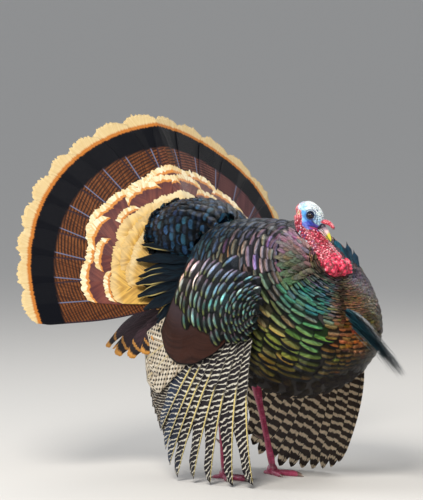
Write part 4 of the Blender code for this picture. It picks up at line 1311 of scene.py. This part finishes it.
def undertail():
    """Dark feathers with tawny tips that hang in a fan behind the wings."""
    vanes = []
    for side in (-1, 1):
        for layer, (short, up) in enumerate(((1.0, 0.0), (0.80, 0.012))):
            for k, (x, y, z) in enumerate(UNDER_TIPS):
                root = Vector((mix(-0.262, -0.225, k / 4), side * 0.085, 0.352 - 0.004 * k))
                tip = root.lerp(Vector((x + 0.014 * layer, side * y, z + up)), short)
                face = Vector((0.30, side * 0.80, 0.45)) if k else Vector((0.1, side * 0.60, 0.75))
                vanes.append((root, tip, face, 0.0215 - 0.0015 * layer, (0.030, 0.014, 0.018, 1.0)))
    for layer, (short, up) in enumerate(((1.0, 0.0), (0.78, 0.010))):
        for k in range(7):
            y = mix(-0.105, 0.105, (k + 0.5 * layer) / 6.5)
            root = Vector((-0.255, y * 0.7, 0.345))
            tip = root.lerp(Vector((-0.414, y, 0.268 + up - 0.3 * y * y)), short)
            vanes.append((root, tip, Vector((-0.2, y * 3, 0.95)), 0.019, (0.030, 0.016, 0.016, 1.0)))
    free_vanes("undertail_feathers", vanes, FINISH["down"], "down", 97, replaced=("undertail_coverts",))


def far_shoulder():
    """Long teal feathers of the far shoulder that stand up behind the neck."""
    teal, dark = (0.020, 0.150, 0.190, 1.0), (0.012, 0.050, 0.080, 1.0)
    face = Vector((0.65, -0.70, 0.25))
    vanes = [(Vector(root), Vector(tip), face, half, tone) for root, tip, half, tone in (
            ((0.089, 0.045, 0.427), (0.048, 0.045, 0.491), 0.0085, teal),
            ((0.092, 0.050, 0.424), (0.058, 0.050, 0.480), 0.0080, dark),
            ((0.085, 0.060, 0.420), (0.071, 0.060, 0.482), 0.0070, dark),
            ((0.090, 0.058, 0.420), (0.066, 0.056, 0.470), 0.0080, teal),
            ((0.091, 0.070, 0.414), (0.081, 0.070, 0.465), 0.0070, dark))]
    free_vanes("far_shoulder_feathers", vanes, FINISH["long"], "coat", 99, pointed=-0.5, comb=0.006,
               droop=0.0)


def under_coat():
    """Mound behind the tail's root, long dark feathers with buff tips under it, and the thighs."""
    chance = np.random.default_rng(91)
    roots = Roots()
    for place, heading, chart, _ in spread_rows(
            MOUND_SURFACE, Vector((-0.255, 0, 0.40)), Vector((-0.288, 0, 0.338)), Vector((-1, 0, 0)),
            lambda r: 0.012, 1.6, 0.20, 0.5, 100):
        roots.grow(place, heading, 0.0130 * chance.normal(1, 0.1), 0.040 * chance.normal(1, 0.1),
                   (0.030, 0.020, 0.015, 0.85), chart)
    lay("vent_coat", MOUND_SURFACE, roots, FINISH["down"], "down", 92, cup=0.25, square=0.6, yaw=0.12)
    undertail()
    for tag, side in SIDES:
        surface = Surface(THIGHS[tag])
        roots = Roots()
        for place, heading, chart, _ in spread_rows(
                surface, Vector((-0.060, side * 0.075, 0.320)), Vector((-0.110, side * 0.070, 0.260)),
                Vector((-1, 0, 0)), lambda r: 0.0095, 1.15, 0.25, 0.6, 90):
            roots.grow(place, (heading * 0.4 + Vector((-0.4, 0, -0.8))).normalized(), 0.0075, 0.026,
                       (0.035, 0.022, 0.014, 0.15), chart)
        lay("thigh_coat_" + tag, surface, roots, FINISH["down"], "down", 94, lift=0.0035, cup=0.2, square=0.6,
            yaw=0.12)


# ---------------------------------------------------------------- head, as in the solids
HEAD_AT = Vector((0.0124, -0.0136, 0.5595))
HEAD_PITCH = radians(42)
HEAD_YAW = radians(15)
HEAD_FWD = Vector((cos(HEAD_YAW) * cos(HEAD_PITCH), sin(HEAD_YAW) * cos(HEAD_PITCH), -sin(HEAD_PITCH)))
HEAD_LEFT = Vector((-sin(HEAD_YAW), cos(HEAD_YAW), 0))
HEAD_UP = HEAD_FWD.cross(HEAD_LEFT)
EYE_R = 0.0062
EYE_FORWARD, EYE_OUT, EYE_UP = 3.7, 1.53, 0.38
CM = 0.01


def at_head(forward, left, up):
    """A place on the head, in centimetres from the back of the skull."""
    return HEAD_AT + (HEAD_FWD * forward + HEAD_LEFT * left + HEAD_UP * up) * CM


def on_head(points):
    """Forward, left and up on the head, in centimetres, for an array of points."""
    off = (points - np.array(HEAD_AT)) / CM
    return off @ np.array(HEAD_FWD), off @ np.array(HEAD_LEFT), off @ np.array(HEAD_UP)


def warts(points, size):
    """Rounded lumps of about a size over points: how high, and a number for each lump."""
    high = np.empty(len(points))
    lot = np.empty(len(points))
    for k, p in enumerate(points):
        far, mids = noise.voronoi(Vector(p) / size)
        high[k] = max(1 - (far[0] / 0.62) ** 2, 0) * clamp((far[1] - far[0]) * 3.0)
        lot[k] = (mids[0].x * 12.9898 + mids[0].y * 78.233 + mids[0].z * 37.719) % 1.0
    return high, lot


def clouds(points, size):
    return np.array([noise.noise(Vector(p) / size) for p in points])


def over(ground, colour, share):
    """Paint of one colour over a ground, by share."""
    share = np.clip(share, 0, 1)[:, None]
    return ground * (1 - share) + np.array(colour) * share


def painted(points, ground, *layers):
    """A ground colour for each point, with (colour, share) layers over it in turn."""
    colours = np.tile(np.array(ground), (len(points), 1))
    for colour, share in layers:
        colours = over(colours, colour, share)
    return colours


def head_skin():
    """Bare wrinkled skin of the head, the warty neck, the caruncles and the snood."""
    ob = melted("head_skin", ("head", "neck", "caruncles", "snood"), 0.0008, 3)
    co, normal = read_points(ob.data)
    f, l, u = on_head(co)
    eye_far = np.sqrt((f - EYE_FORWARD) ** 2 + (u - EYE_UP) ** 2 + (np.abs(l) - EYE_OUT) ** 2)
    jaw_line = 0.95 * ease_all(f, 5.0, 6.2)
    cheek = ease_all(u + 0.90 * f - 1.22, -0.10, 0.22) * ease_all(u - jaw_line, -2.25, -2.05)
    face = cheek * fade(f, 6.5, 7.0)
    snood = ease_all(u - 0.62 - 0.05 * (f - 6), 0, 0.12) * ease_all(f, 6.15, 6.5)
    foot = ease_all(f, 12.2, 13.6)
    small, small_lot = warts(co, 0.0044)
    large, large_lot = warts(co, 0.0084)
    lumps, _ = warts(co, 0.0110)
    fine = clouds(co, 0.0011)
    lines = clouds(co * np.array((1.0, 1.0, 2.4)), 0.0032)
    grooves = hump(co[:, 1], -0.0265, 0.0022) + hump(co[:, 1], -0.0035, 0.0022)
    lobed = foot * fade(co[:, 2], 0.430, 0.446) * ease_all(co[:, 0], 0.095, 0.110)
    neck = (1 - face) * (1 - snood) * (1 - ease_all(u, -0.6, -0.1) * (f < 7))
    swell = neck * (1 - foot) * (small * 0.0014 + large * 0.0012 * ease_all(f, 4, 8))
    swell = swell + foot * neck * (lumps * 0.0022 + large * 0.0012 + small * 0.0003)
    creases = face * (0.00022 * lines + 0.00010 * fine)
    rings = np.sin(eye_far * 26) * hump(eye_far, 1.15, 0.28) * 0.00020 * face
    drop = snood * (0.00040 * np.sin(f * 15 + lines) + 0.0003 * fine)
    brow = hump(eye_far, 0.98, 0.15) * ease_all(u, 0.45, 0.9) * 0.0011 * face
    socket = -fade(eye_far, 0.60, 0.86) * 0.0012 * face
    gape = hump(u + 0.66 + 0.42 * (6.5 - f), 0, 0.10) * ease_all(f, 4.5, 5.0) * (f < 6.6)
    co = co + normal * (swell + creases + rings + drop + brow + socket - 0.0009 * gape
                        - 0.0034 * grooves * lobed)[:, None]
    low = co[:, 2] < 0.426
    co[:, 2] = np.where(low & (foot > 0), 0.426 - (0.426 - co[:, 2]) * 0.55, co[:, 2])
    co[:, 1] = np.where((foot > 0) & (co[:, 1] > 0.010), 0.010 + (co[:, 1] - 0.010) * 0.6, co[:, 1])
    write_points(ob.data, co)

    top = np.where(foot > 0.5, np.maximum(large, lumps * 0.8), small)
    pick = np.where(foot > 0.5, large_lot, small_lot)
    side = ease_all(f, 2.6, 4.2) * fade(f, 7.5, 11.0) * ease_all(-u, 2.2, 3.0)
    nape = (1 - face) * fade(f - 0.8 * (u + 2.0), 1.6, 2.4)
    stripes = np.sin((f * 2.2 + u * 3.2) * 3.1 + lines * 2) > 0.72
    mottled = 0.5 + 0.5 * clouds(co, 0.0026)
    flecks = 0.5 + 0.5 * clouds(co + 1.7, 0.0021)
    above = -0.55 + 0.85 * ease_all(f, 0.9, 2.4)
    crown = ease_all(u - above, -0.12, 0.25) * ease_all(f + u * 0.5, 0.0, 0.35)
    front = ease_all(f - 0.25 * u, 4.6, 5.1) * ease_all(u, -0.35, 0.05)
    white = np.maximum(crown, front) * fade(f, 6.35, 6.6) * (1 - snood)
    pale = face * ease_all(mottled, 0.46, 0.60) * fade(f + u, 1.2, 2.6)
    bluest = ease_all(f - 0.55 * u, 3.9, 4.8) * face * fade(u, 0.0, 0.5)
    line = hump(u - 0.75 + 0.24 * (f - 4.3), 0, 0.10) * ease_all(f, 4.4, 4.7) * fade(f, 5.6, 6.0)
    tear = hump(u - 0.05 + 0.40 * (f - 4.4), 0, 0.26) * ease_all(f, 4.0, 4.4) * fade(f, 5.0, 5.9)
    ear = np.exp(-(((f - 1.42) / 0.34) ** 2 + ((u + 1.05) / 0.34) ** 2)) * (np.abs(l) > 0.7)
    ear_hole = np.exp(-(((f - 1.9) / 0.20) ** 2 + ((u + 0.55) / 0.11) ** 2))
    jaw = hump(u + 2.12 - jaw_line, 0, 0.09) * ease_all(f, 3.8, 4.4) * (f < 6.4)
    lips = hump(u + 0.92 + 0.42 * (6.5 - f), 0, 0.14) * ease_all(f, 4.8, 5.4) * (f < 6.6)
    bill_foot = ease_all(f, 6.10, 6.35) * (u < 0.45) * (u > -0.95) * (1 - snood) * (f < 6.8)
    snood_foot = ease_all(f, 5.7, 6.2) * ease_all(u, 0.45, 0.75) * (f < 7)
    ice = painted(
        co, (0.42, 0.60, 0.68),
        ((0.10, 0.34, 0.58), ease_all(mottled, 0.48, 0.60) * fade(u, 1.1, 2.0) * 0.8),
        ((0.68, 0.73, 0.72), ease_all(u, 0.7, 1.7) * 0.85),
        ((0.66, 0.34, 0.40), fade(f, 0.5, 1.2) * ease_all(mottled, 0.42, 0.56) * 0.7))
    paint(ob.data, painted(
        # From deep crimson in the gaps between the warts to brighter red and pink-white on their tops: partly
        # the skin's own colours, partly painted shade in the gaps and painted highlights on the tops.
        co, (0.17, 0.002, 0.012),
        ((0.50, 0.014, 0.050), ease_all(top, 0.02, 0.35)),
        ((0.74, 0.085, 0.150), neck * ease_all(top, 0.40, 0.80) * 0.85),
        ((0.92, 0.52, 0.56), neck * (1 - foot) * ease_all(top, 0.48, 0.86) * (pick > 0.42) * 0.95),
        ((0.50, 0.64, 0.72), side * (pick < 0.42) * ease_all(top, 0.15, 0.5)),
        ((0.05, 0.03, 0.16), side * (pick > 0.42) * (pick < 0.60) * 0.7),
        ((0.76, 0.030, 0.095), foot * ease_all(top, 0.05, 0.4) * 0.8),
        # Pink-white on the tops of the caruncles' lumps: partly their own colour, partly painted highlights.
        ((0.94, 0.40, 0.46), foot * ease_all(lumps * 0.7 + large * 0.3, 0.55, 0.95) * 0.85),
        ((0.50, 0.016, 0.045), nape * 0.7),
        ((0.86, 0.58, 0.56), nape * stripes * 0.75),
        ((0.10, 0.36, 0.74), face),
        ((0.30, 0.62, 0.90), pale * 0.5),
        ((0.028, 0.060, 0.42), bluest),
        ((0.10, 0.05, 0.34), bluest * ease_all(f, 5.0, 5.8) * 0.6),
        ((0.012, 0.10, 0.36), fade(eye_far, 1.10, 1.45) * face * 0.65),
        (ice, white),
        ((0.02, 0.04, 0.12), white * ease_all(flecks, 0.58, 0.62) * ease_all(f, 2.0, 3.2)),
        ((0.03, 0.02, 0.12), line * 0.8),
        # Near-black round the eye: partly dark skin, partly painted shade in its socket.
        ((0.004, 0.008, 0.040), fade(eye_far, 0.84, 1.02) * face),
        ((0.006, 0.02, 0.12), hump(eye_far, 1.16, 0.09) * face * (u > 0.30) * 0.85),
        ((0.008, 0.015, 0.09), tear * 0.9),
        ((0.62, 0.48, 0.30), ear * 1.3),
        ((0.05, 0.012, 0.015), ear_hole * 0.9),
        ((0.030, 0.010, 0.030), jaw * 0.75),
        ((0.46, 0.012, 0.035), lips * 0.9),
        ((0.025, 0.008, 0.012), gape),
        # Dark at the foot of the bill: partly its dark blue-grey skin, partly painted shade under the nostril
        # and the snood.
        ((0.030, 0.020, 0.045), bill_foot),
        ((0.52, 0.022, 0.055), snood + snood_foot),
        ((0.92, 0.45, 0.48), snood * ease_all(mottled, 0.50, 0.60) * 0.75),
        ((0.10, 0.008, 0.018), snood * ease_all(f, 8.3, 8.7) * 0.8)))
    return ob


def carried_colour(mottle, size):
    """The paint a mesh carries, a little mottled."""
    def colour(tree):
        cloud = use(tree, GRAIN, Size=size)["Mottle"]
        return scaled(tree, tone_of(tree)[0], ramp(tree, cloud, 0.3, 0.7, 1 - mottle, 1 + mottle))
    return colour


def grain_height(size):
    return lambda tree: use(tree, GRAIN, Size=size)["Height"]


def ring_mesh(name, rings, material, tones, closed=False):
    """A mesh through rings of points, each ring closed on itself."""
    rings = np.array(rings)
    count, around = rings.shape[:2]
    quads = []
    for a in range(count - 1):
        for i in range(around):
            j = (i + 1) % around
            quads.append((a * around + i, a * around + j, (a + 1) * around + j, (a + 1) * around + i))
    if closed:
        quads.append(tuple(range(around))[::-1])
        quads.append(tuple((count - 1) * around + i for i in range(around)))
    mesh = bpy.data.meshes.new(name)
    mesh.from_pydata([tuple(p) for p in (rings.reshape(-1, 3) + np.array(HOME))], [], quads)
    for face in mesh.polygons:
        face.use_smooth = True
    paint(mesh, np.repeat(np.array(tones), around, axis=0))
    mesh.materials.append(material)
    return placed(name, mesh)


def shell_rings(mid, axis, up, stops, around=48):
    """Rings round an axis: stops give (half angle across, half angle up, radius)."""
    left = up.cross(axis).normalized()
    true_up = axis.cross(left)
    rings = []
    for wide, tall, radius in stops:
        ring = []
        for i in range(around):
            a = 2 * pi * i / around
            size = 1 / sqrt((cos(a) / wide) ** 2 + (sin(a) / tall) ** 2)
            ray = axis * cos(size) + (left * cos(a) + true_up * sin(a)) * sin(size)
            ring.append(mid + ray * radius)
        rings.append(ring)
    return rings


LIDS = (  # half angle across, half angle up, radius past the eye's, colour
    # The near-black inner rings: partly the lids' own dark margin, partly painted shade round the eye.
    (0.98, 0.82, -0.0001, (0.003, 0.004, 0.010)), (0.97, 0.81, 0.0004, (0.003, 0.005, 0.016)),
    (1.03, 0.88, 0.0008, (0.005, 0.010, 0.04)), (1.14, 1.02, 0.0008, (0.008, 0.02, 0.09)),
    (1.28, 1.18, 0.0003, (0.012, 0.05, 0.20)), (1.5, 1.45, -0.0008, (0.03, 0.12, 0.36)))


def eyes():
    glass = finish_surface("eye", carried_colour(0.1, 1500.0), 0.10, specular=0.35, coat=0.35,
                           coat_rough=0.02)
    lid_skin = finish_surface("eyelid", carried_colour(0.25, 1200.0), 0.45, 0.0, grain_height(1500.0),
                              0.00025)
    for tag, side in SIDES:
        mid = at_head(EYE_FORWARD, side * EYE_OUT, EYE_UP)
        gaze = (HEAD_LEFT * side + HEAD_FWD * 0.26 + HEAD_UP * 0.05).normalized()
        stops, tones = [], []
        for k in range(25):
            angle = mix(0.02, pi - 0.02, (k / 24) ** 0.8)
            radius = EYE_R * (1 + 0.035 * exp(-(angle / 0.5) ** 2))
            stops.append((angle, angle, radius))
            iris = ease(angle, 0.40, 0.50) * (1 - ease(angle, 0.88, 1.0))
            tones.append(tuple(mix(0.0015, c, iris) for c in (0.022, 0.008, 0.004)))
        ball = ring_mesh("eye_" + tag, shell_rings(mid, gaze, HEAD_UP, stops), glass, tones, closed=True)
        show(ball, "eye_" + tag, slot="eye")
        rings = shell_rings(mid, gaze, HEAD_UP, [(wide, tall, EYE_R + more) for wide, tall, more, _ in LIDS])
        rim = ring_mesh("eyelid_" + tag, rings, lid_skin, [row[3] for row in LIDS])
        show(rim, slot="head_skin")


def bill():
    """Horn of the bill: dark at the base, rosy in the middle, yellow-green at the tip."""
    horn = finish_surface("bill_horn", carried_colour(0.12, 500.0), 0.32, 0.0, grain_height(900.0), 0.00012,
                          coat=0.25, coat_rough=0.2)
    for label in ("bill_upper", "bill_lower"):
        ob = melted(label + "_horn", (label,), 0.00045, 3)
        co, normal = read_points(ob.data)
        f, l, u = on_head(co)
        slit = np.zeros(len(co))
        if label == "bill_upper":
            slit = np.exp(-(((f - 7.15 - 0.3 * (u - 0.1)) / 0.30) ** 2 + ((u - 0.08) / 0.10) ** 2))
            slit = slit * (np.abs(l) > 0.25)
        write_points(ob.data, co - normal * (0.0008 * slit)[:, None] + np.array(HOME))
        paint(ob.data, painted(
            co, (0.045, 0.035, 0.060),
            ((0.34, 0.24, 0.30), ease_all(f - 0.5 * u, 6.8, 7.3)),
            ((0.78, 0.55, 0.52), ease_all(f - 0.5 * u, 7.4, 8.1)),
            ((0.66, 0.62, 0.05), ease_all(f, 8.3, 8.8)),
            ((0.10, 0.045, 0.03), hump(u + 0.62 + 0.14 * (f - 7), 0, 0.10) * 0.8),
            ((0.01, 0.006, 0.01), slit)))
        cover(ob, horn)
        show(ob, label, slot="horn")


def strands(name, roots, ends, radius, sag, wave, material, slot, seed, tones, steps, replaced):
    """Stiff bristles: thin tapered tubes with three sides."""
    chance = np.random.default_rng(seed)
    s = np.linspace(0, 1, steps)
    count = len(roots)
    full = (count, steps, 4)
    roots = np.array(roots)
    headings = np.array(ends) - roots
    lengths = np.linalg.norm(headings, axis=1)[:, None, None]
    line = roots[:, None] + unit(headings)[:, None] * lengths * s[None, :, None]
    line = line + np.array(DOWN) * sag * lengths * (s ** 2)[None, :, None]
    swing = chance.standard_normal((count, 1, 3)) * wave * np.sin(s * 5)[None, :, None]
    line = line + swing * lengths
    way = unit(np.gradient(line, axis=1))
    side = unit(np.cross(way, np.array((0.13, 0.31, 0.94))))
    lift = np.cross(way, side)
    taper = radius * (1 - 0.85 * s ** 2)[None, :, None, None]
    a = np.arange(4) * 2 * pi / 3
    ring = side[:, :, None] * np.cos(a)[:, None] + lift[:, :, None] * np.sin(a)[:, None]
    points = line[:, :, None] + ring * taper
    q, w = s[None, :, None], np.linspace(-1, 1, 4)[None, None, :]
    vane = spread(full, q, w, chance.random((count, 1, 1)))
    show(sheet_mesh(name, points, vane, tones, own_patches(full, q, w, 0.8), material), *replaced, slot=slot)


def bristle_colour(tree):
    along, _, _ = vane_parts(tree)
    return tint(tree, ramp(tree, along, 0.3, 0.9, 0.0, 0.8), tone_of(tree)[0], (0.010, 0.012, 0.018))


BRISTLES = 380
BRISTLE_R = 0.00042
LOCK_TONES = ((0.006, 0.016, 0.030), (0.050, 0.240, 0.300), (0.016, 0.080, 0.120), (0.004, 0.006, 0.010))
BEARD_ROOT, BEARD_TIP = Vector((0.150, -0.038, 0.352)), Vector((0.2755, -0.010, 0.222))


def beard():
    """Bunch of stiff blue-black bristles hanging forward from the breast."""
    chance = np.random.default_rng(141)
    roots, ends, tones = [], [], []
    axis = (BEARD_TIP - BEARD_ROOT).normalized()
    side = Vector((0, 1, 0))
    up = axis.cross(side)
    for k in range(BRISTLES):
        a, r = chance.random() * 2 * pi, sqrt(chance.random())
        off = side * cos(a) * r + up * sin(a) * r
        roots.append(BEARD_ROOT + off * 0.0125 + axis * 0.004 * chance.random())
        stray = 1.7 if k % 6 == 0 else 1.0
        end = BEARD_TIP + off * 0.0080 * stray - axis * 0.115 * chance.random() ** 1.6 + Vector((0, 0, 0.036))
        if k % 12 == 0:
            end = end - axis * 0.030 - Vector((0, 0, 0.018))
        ends.append(end)
        tones.append((*LOCK_TONES[int(a * 4.5 + chance.random()) % 4], 1.0))
    bristle = finish_surface("beard_bristle", bristle_colour, 0.34, 0.1, specular=0.6)
    strands("beard_bristles", roots, ends, BRISTLE_R, 0.17, 0.022, bristle, "bristle", 142, tones, 12,
            ("beard",))


# ---------------------------------------------------------------- legs, as in the solids
TOE_MID = 0.078
TOE_SIDE = TOE_MID * 0.78
TOE_SPREAD = radians(34)
PLATE_MM = 5.2           # from one plate of the shank to the next
TOE_RING_MM = 4.0
STANCE = (("left", 1, Vector((-0.168, 0.055, 0.186)), Vector((-0.122, 0.055, 0.020)), radians(6)),
          ("right", -1, Vector((-0.166, -0.060, 0.186)), Vector((-0.144, -0.065, 0.020)), radians(-8)))


def leg_toes(side, ankle, heading):
    """Root, heading, length and thickness of each toe."""
    base = Vector((ankle.x, ankle.y, 0))
    return ((base, heading, TOE_MID, 0.0062),
            (base, heading + TOE_SPREAD, TOE_SIDE, 0.0056),
            (base, heading - TOE_SPREAD, TOE_SIDE, 0.0056),
            (base, heading + pi - side * 0.35, 0.032, 0.0046))


def leg_skin(tag, side, hock, ankle, heading):
    """Scaled skin of one leg and its toes."""
    ob = melted("leg_skin_" + tag, ("shank_" + tag, "foot_" + tag), 0.0009, 3)
    co, normal = read_points(ob.data)
    along = (co - np.array(hock)) @ np.array((ankle - hock).normalized())
    shank = ease_all(co[:, 2], 0.020, 0.034)
    ahead = ease_all(normal @ np.array((0.95, 0.0, 0.25)), 0.15, 0.5)
    plate = np.abs(((along * 1000 / PLATE_MM) % 1.0) - 0.5) * 2
    scute = (1 - plate ** 6) * ahead
    small, _ = warts(co, 0.0022)
    height = shank * (scute * 0.00045 + small * 0.00022 * (1 - ahead))
    rings = np.zeros(len(co))
    tip = np.zeros(len(co))
    for root, turn, length, _ in leg_toes(side, ankle, heading):
        ray = np.array((cos(turn), sin(turn), 0))
        reach = (co - np.array(root)) @ ray
        off = np.linalg.norm(co - np.array(root) - reach[:, None] * ray, axis=1)
        here = (off < 0.0095) & (reach > 0.010)
        wave = (1 - (np.abs(((reach * 1000 / TOE_RING_MM) % 1.0) - 0.5) * 2) ** 6)
        rings = np.where(here, np.maximum(rings, wave * ease_all(normal[:, 2], 0.0, 0.5)), rings)
        tip = np.where(here, np.maximum(tip, ease_all(reach, length * 0.80, length * 0.90)), tip)
    height = height + (1 - shank) * (rings * 0.00040 - tip * 0.0012 + small * 0.00012)
    grown = co + normal * height[:, None]
    grown[:, 2] = np.where(co[:, 2] < 0.0006, co[:, 2], np.maximum(grown[:, 2], 0.0001))
    write_points(ob.data, grown)
    paint(ob.data, painted(
        co, (0.40, 0.020, 0.085),
        # Paler pink on the forward-facing plates of the shank: painted highlights.
        ((0.62, 0.10, 0.22), shank * scute * ease_all(clouds(co, 0.010), -0.1, 0.4) * 0.7),
        ((0.16, 0.010, 0.030), shank * ease_all(plate, 0.80, 0.98) * 0.7),
        ((0.30, 0.05, 0.10), (1 - shank) * 0.7),
        ((0.10, 0.02, 0.03), (1 - shank) * (1 - rings) * (normal[:, 2] > 0.3) * 0.5)))
    return ob


def claws():
    horn = finish_surface("claw_horn", carried_colour(0.15, 600.0), 0.35, 0.0, grain_height(900.0), 0.0001,
                          coat=0.2, coat_rough=0.2)
    for tag, side, hock, ankle, heading in STANCE:
        for k, (root, turn, length, thick) in enumerate(leg_toes(side, ankle, heading)):
            ray = Vector((cos(turn), sin(turn), 0))
            across = Vector((-ray.y, ray.x, 0))
            rings, tones = [], []
            for j in range(10):
                t = j / 9
                mid = root + ray * length * mix(0.80, 1.005, t)
                mid = mid + Vector((0, 0, thick * mix(0.66, 0.20, t ** 1.6)))
                wide = thick * mix(0.50, 0.05, t ** 1.3)
                tall = thick * mix(0.62, 0.08, t ** 1.4)
                ring = [mid + across * wide * cos(a) + Vector((0, 0, tall * sin(a)))
                        for a in (2 * pi * i / 14 for i in range(14))]
                rings.append([Vector((p.x, p.y, max(p.z, 0.0003))) for p in ring])
                tones.append(tuple(mix(a, b, t) for a, b in zip((0.10, 0.045, 0.04), (0.22, 0.16, 0.12))))
            show(ring_mesh("claw_%s_%d" % (tag, k + 1), rings, horn, tones, closed=True), slot="spur_horn")
        ob = melted("spur_horn_" + tag, ("spur_" + tag,), 0.0005, 3)
        co, _ = read_points(ob.data)
        far = np.linalg.norm(co - np.array(hock.lerp(ankle, 0.68)), axis=1)
        write_points(ob.data, co + np.array(HOME))
        paint(ob.data, painted(co, (0.09, 0.035, 0.03), ((0.30, 0.20, 0.14), ease_all(far, 0.010, 0.028))))
        cover(ob, horn)
        show(ob, "spur_" + tag, slot="spur_horn")


def box_chart(ob, low, high, apart=None):
    """Bake map of a part of the skin: its six sides, seen square on, side by side in a rectangle."""
    mesh = ob.data
    sizes = read(mesh.polygons, "loop_total", 1, np.int32)
    corners = read(mesh.loops, "vertex_index", 1, np.int32)
    turn = np.array((HEAD_FWD, HEAD_LEFT, HEAD_UP)).T
    facing = read(mesh.polygons, "normal") @ turn
    axis = np.abs(facing).argmax(1)
    tile = axis + 3 * (facing[np.arange(len(facing)), axis] < 0)
    columns, rows = 3, 2
    if apart is not None:
        tile = tile + 6 * apart(read(mesh.polygons, "center"))
        columns, rows = 4, 3
    tile, axis = np.repeat(tile, sizes), np.repeat(axis, sizes)
    place = (read_points(mesh)[0] @ turn)[corners]
    flat = np.stack([np.where(axis == 0, place[:, 1], place[:, 0]),
                     np.where(axis == 2, place[:, 1], place[:, 2])], -1)
    cell = (np.array(high) - np.array(low)) / (columns, rows)
    spot = np.zeros_like(flat)
    for k in range(columns * rows):
        mine = tile == k
        if mine.any():
            corner = flat[mine].min(0)
            scale = (cell * 0.94 / (flat[mine].max(0) - corner + 1e-6)).min()
            start = np.array(low) + cell * (k % columns, k // columns) + cell * 0.03
            spot[mine] = start + (flat[mine] - corner) * scale
    layer = mesh.uv_layers.new(name="OFBake")
    layer.data.foreach_set("uv", spot.astype(np.float32).reshape(-1))


def below_head(points):
    """1 on the neck and its lumps, 0 on the head, for middles of faces."""
    f, _, u = on_head(points)
    return ((u + 0.90 * f - 1.22 < -0.2) | (u < -2.15) | (f > 9.5)).astype(np.int32)


HEAD_SHARE = 0.66        # part of the bake map's width for the head and neck
CHART_EDGES = (0, 0.26, 0.52, 0.62, 0.69, 0.75, 0.81, 0.87, 0.935, 1.0)


def one_skin():
    """Head, body and legs gathered as one skin, in the places of the solids of flesh."""
    bare = finish_surface("bare_skin", carried_colour(0.16, 520.0), 0.42, 0.0, grain_height(1100.0), 0.00025,
                          coat=0.35, coat_rough=0.28, under=0.12)
    scales = finish_surface("leg_scales", carried_colour(0.18, 420.0), 0.40, 0.0, grain_height(900.0), 0.0002,
                            coat=0.2, coat_rough=0.3)
    plucked = finish_surface("down_skin", carried_colour(0.3, 260.0), 0.8, 0.0, grain_height(500.0))
    parts = [(head_skin(), bare)]
    parts += [(leg_skin(*row), scales) for row in STANCE]
    for ob in [TORSO, DOME, MOUND, *LOBES.values(), *THIGHS.values()]:
        paint(ob.data, painted(ob.data.vertices, (0.012, 0.009, 0.008)))
        parts.append((ob, plucked))
    box_chart(parts[0][0], (0.0, 0.0), (HEAD_SHARE, 1.0), below_head)
    for (ob, _), low, high in zip(parts[1:], CHART_EDGES, CHART_EDGES[1:]):
        box_chart(ob, (HEAD_SHARE, low), (1.0, high))
    for ob, material in parts:
        write_points(ob.data, read_points(ob.data)[0] + np.array(HOME))
        cover(ob, material)
    skin = parts[0][0]
    pieces = [ob for ob, _ in parts]
    with bpy.context.temp_override(active_object=skin, object=skin, selected_objects=pieces,
                                   selected_editable_objects=pieces):
        bpy.ops.object.join()
    skin.name = "skin"
    flesh = ["head", "neck", "caruncles", "snood", "trunk", "rump", "vent"]
    for tag, _ in SIDES:
        flesh += ["shank_" + tag, "foot_" + tag, "thigh_" + tag, "wing_%s_shoulder" % tag]
    show(skin, *flesh, slot="neck_skin")


# ---------------------------------------------------------------- stage
LAMPS = (("key", (1.3, -2.6, 2.6), 1.0, 145.0, (1.0, 0.96, 0.90)),
         ("fill", (-2.6, -1.6, 1.8), 2.2, 60.0, (0.92, 0.96, 1.0)),
         ("rim", (-0.6, 2.8, 2.4), 1.6, 40.0, (1.0, 0.97, 0.92)))
LAMP_AIM = Vector((0, 0, 0.35))
FLOOR_HALF = 60.0


def studio():
    bm = bmesh.new()
    bmesh.ops.create_grid(bm, x_segments=1, y_segments=1, size=FLOOR_HALF)
    mesh = bpy.data.meshes.new("floor")
    bm.to_mesh(mesh)
    bm.free()
    floor = placed("floor", mesh)
    floor.data.materials.append(finish_surface("floor_paint", lambda tree: (0.62, 0.60, 0.57, 1.0), 0.8))
    world = bpy.data.worlds.new("studio")
    world.use_nodes = True
    sky = world.node_tree.nodes["Background"]
    sky.inputs[0].default_value = (0.90, 0.94, 1.0, 1.0)
    sky.inputs[1].default_value = 0.46
    bpy.context.scene.world = world
    bpy.context.scene.view_settings.view_transform = 'Standard'
    for name, spot, size, power, colour in LAMPS:
        lamp = bpy.data.lights.new(name, 'AREA')
        lamp.energy = power
        lamp.size = size
        lamp.color = colour
        ob = placed(name, lamp)
        ob.location = spot
        ob.rotation_euler = (LAMP_AIM - Vector(spot)).to_track_quat('-Z', 'Y').to_euler()


CAMERA_TURN = radians(48)
CAMERA_RISE = radians(4)
CAMERA_AWAY = 10.0
CAMERA_AIM = Vector((-0.1371, -0.1122, 0.4647))
VIEW_HEIGHT = 1.0        # height of the picture at the aim, in metres
FILM = 36.0


def camera():
    level = cos(CAMERA_RISE)
    back = Vector((cos(CAMERA_TURN) * level, -sin(CAMERA_TURN) * level, sin(CAMERA_RISE)))
    lens = bpy.data.cameras.new("camera")
    lens.sensor_width = FILM
    lens.lens = FILM * CAMERA_AWAY / VIEW_HEIGHT
    lens.clip_end = 60
    ob = placed("camera", lens)
    ob.location = CAMERA_AIM + HOME + back * CAMERA_AWAY
    ob.rotation_euler = (-back).to_track_quat('-Z', 'Y').to_euler()
    bpy.context.scene.camera = ob


camera()
studio()
body_coat()
rump_coat()
rump_skirt()
tail()
tail_covert_rings()
for tag, side in SIDES[::-1]:
    wing(tag, side)
under_coat()
far_shoulder()
eyes()
bill()
beard()
claws()
one_skin()
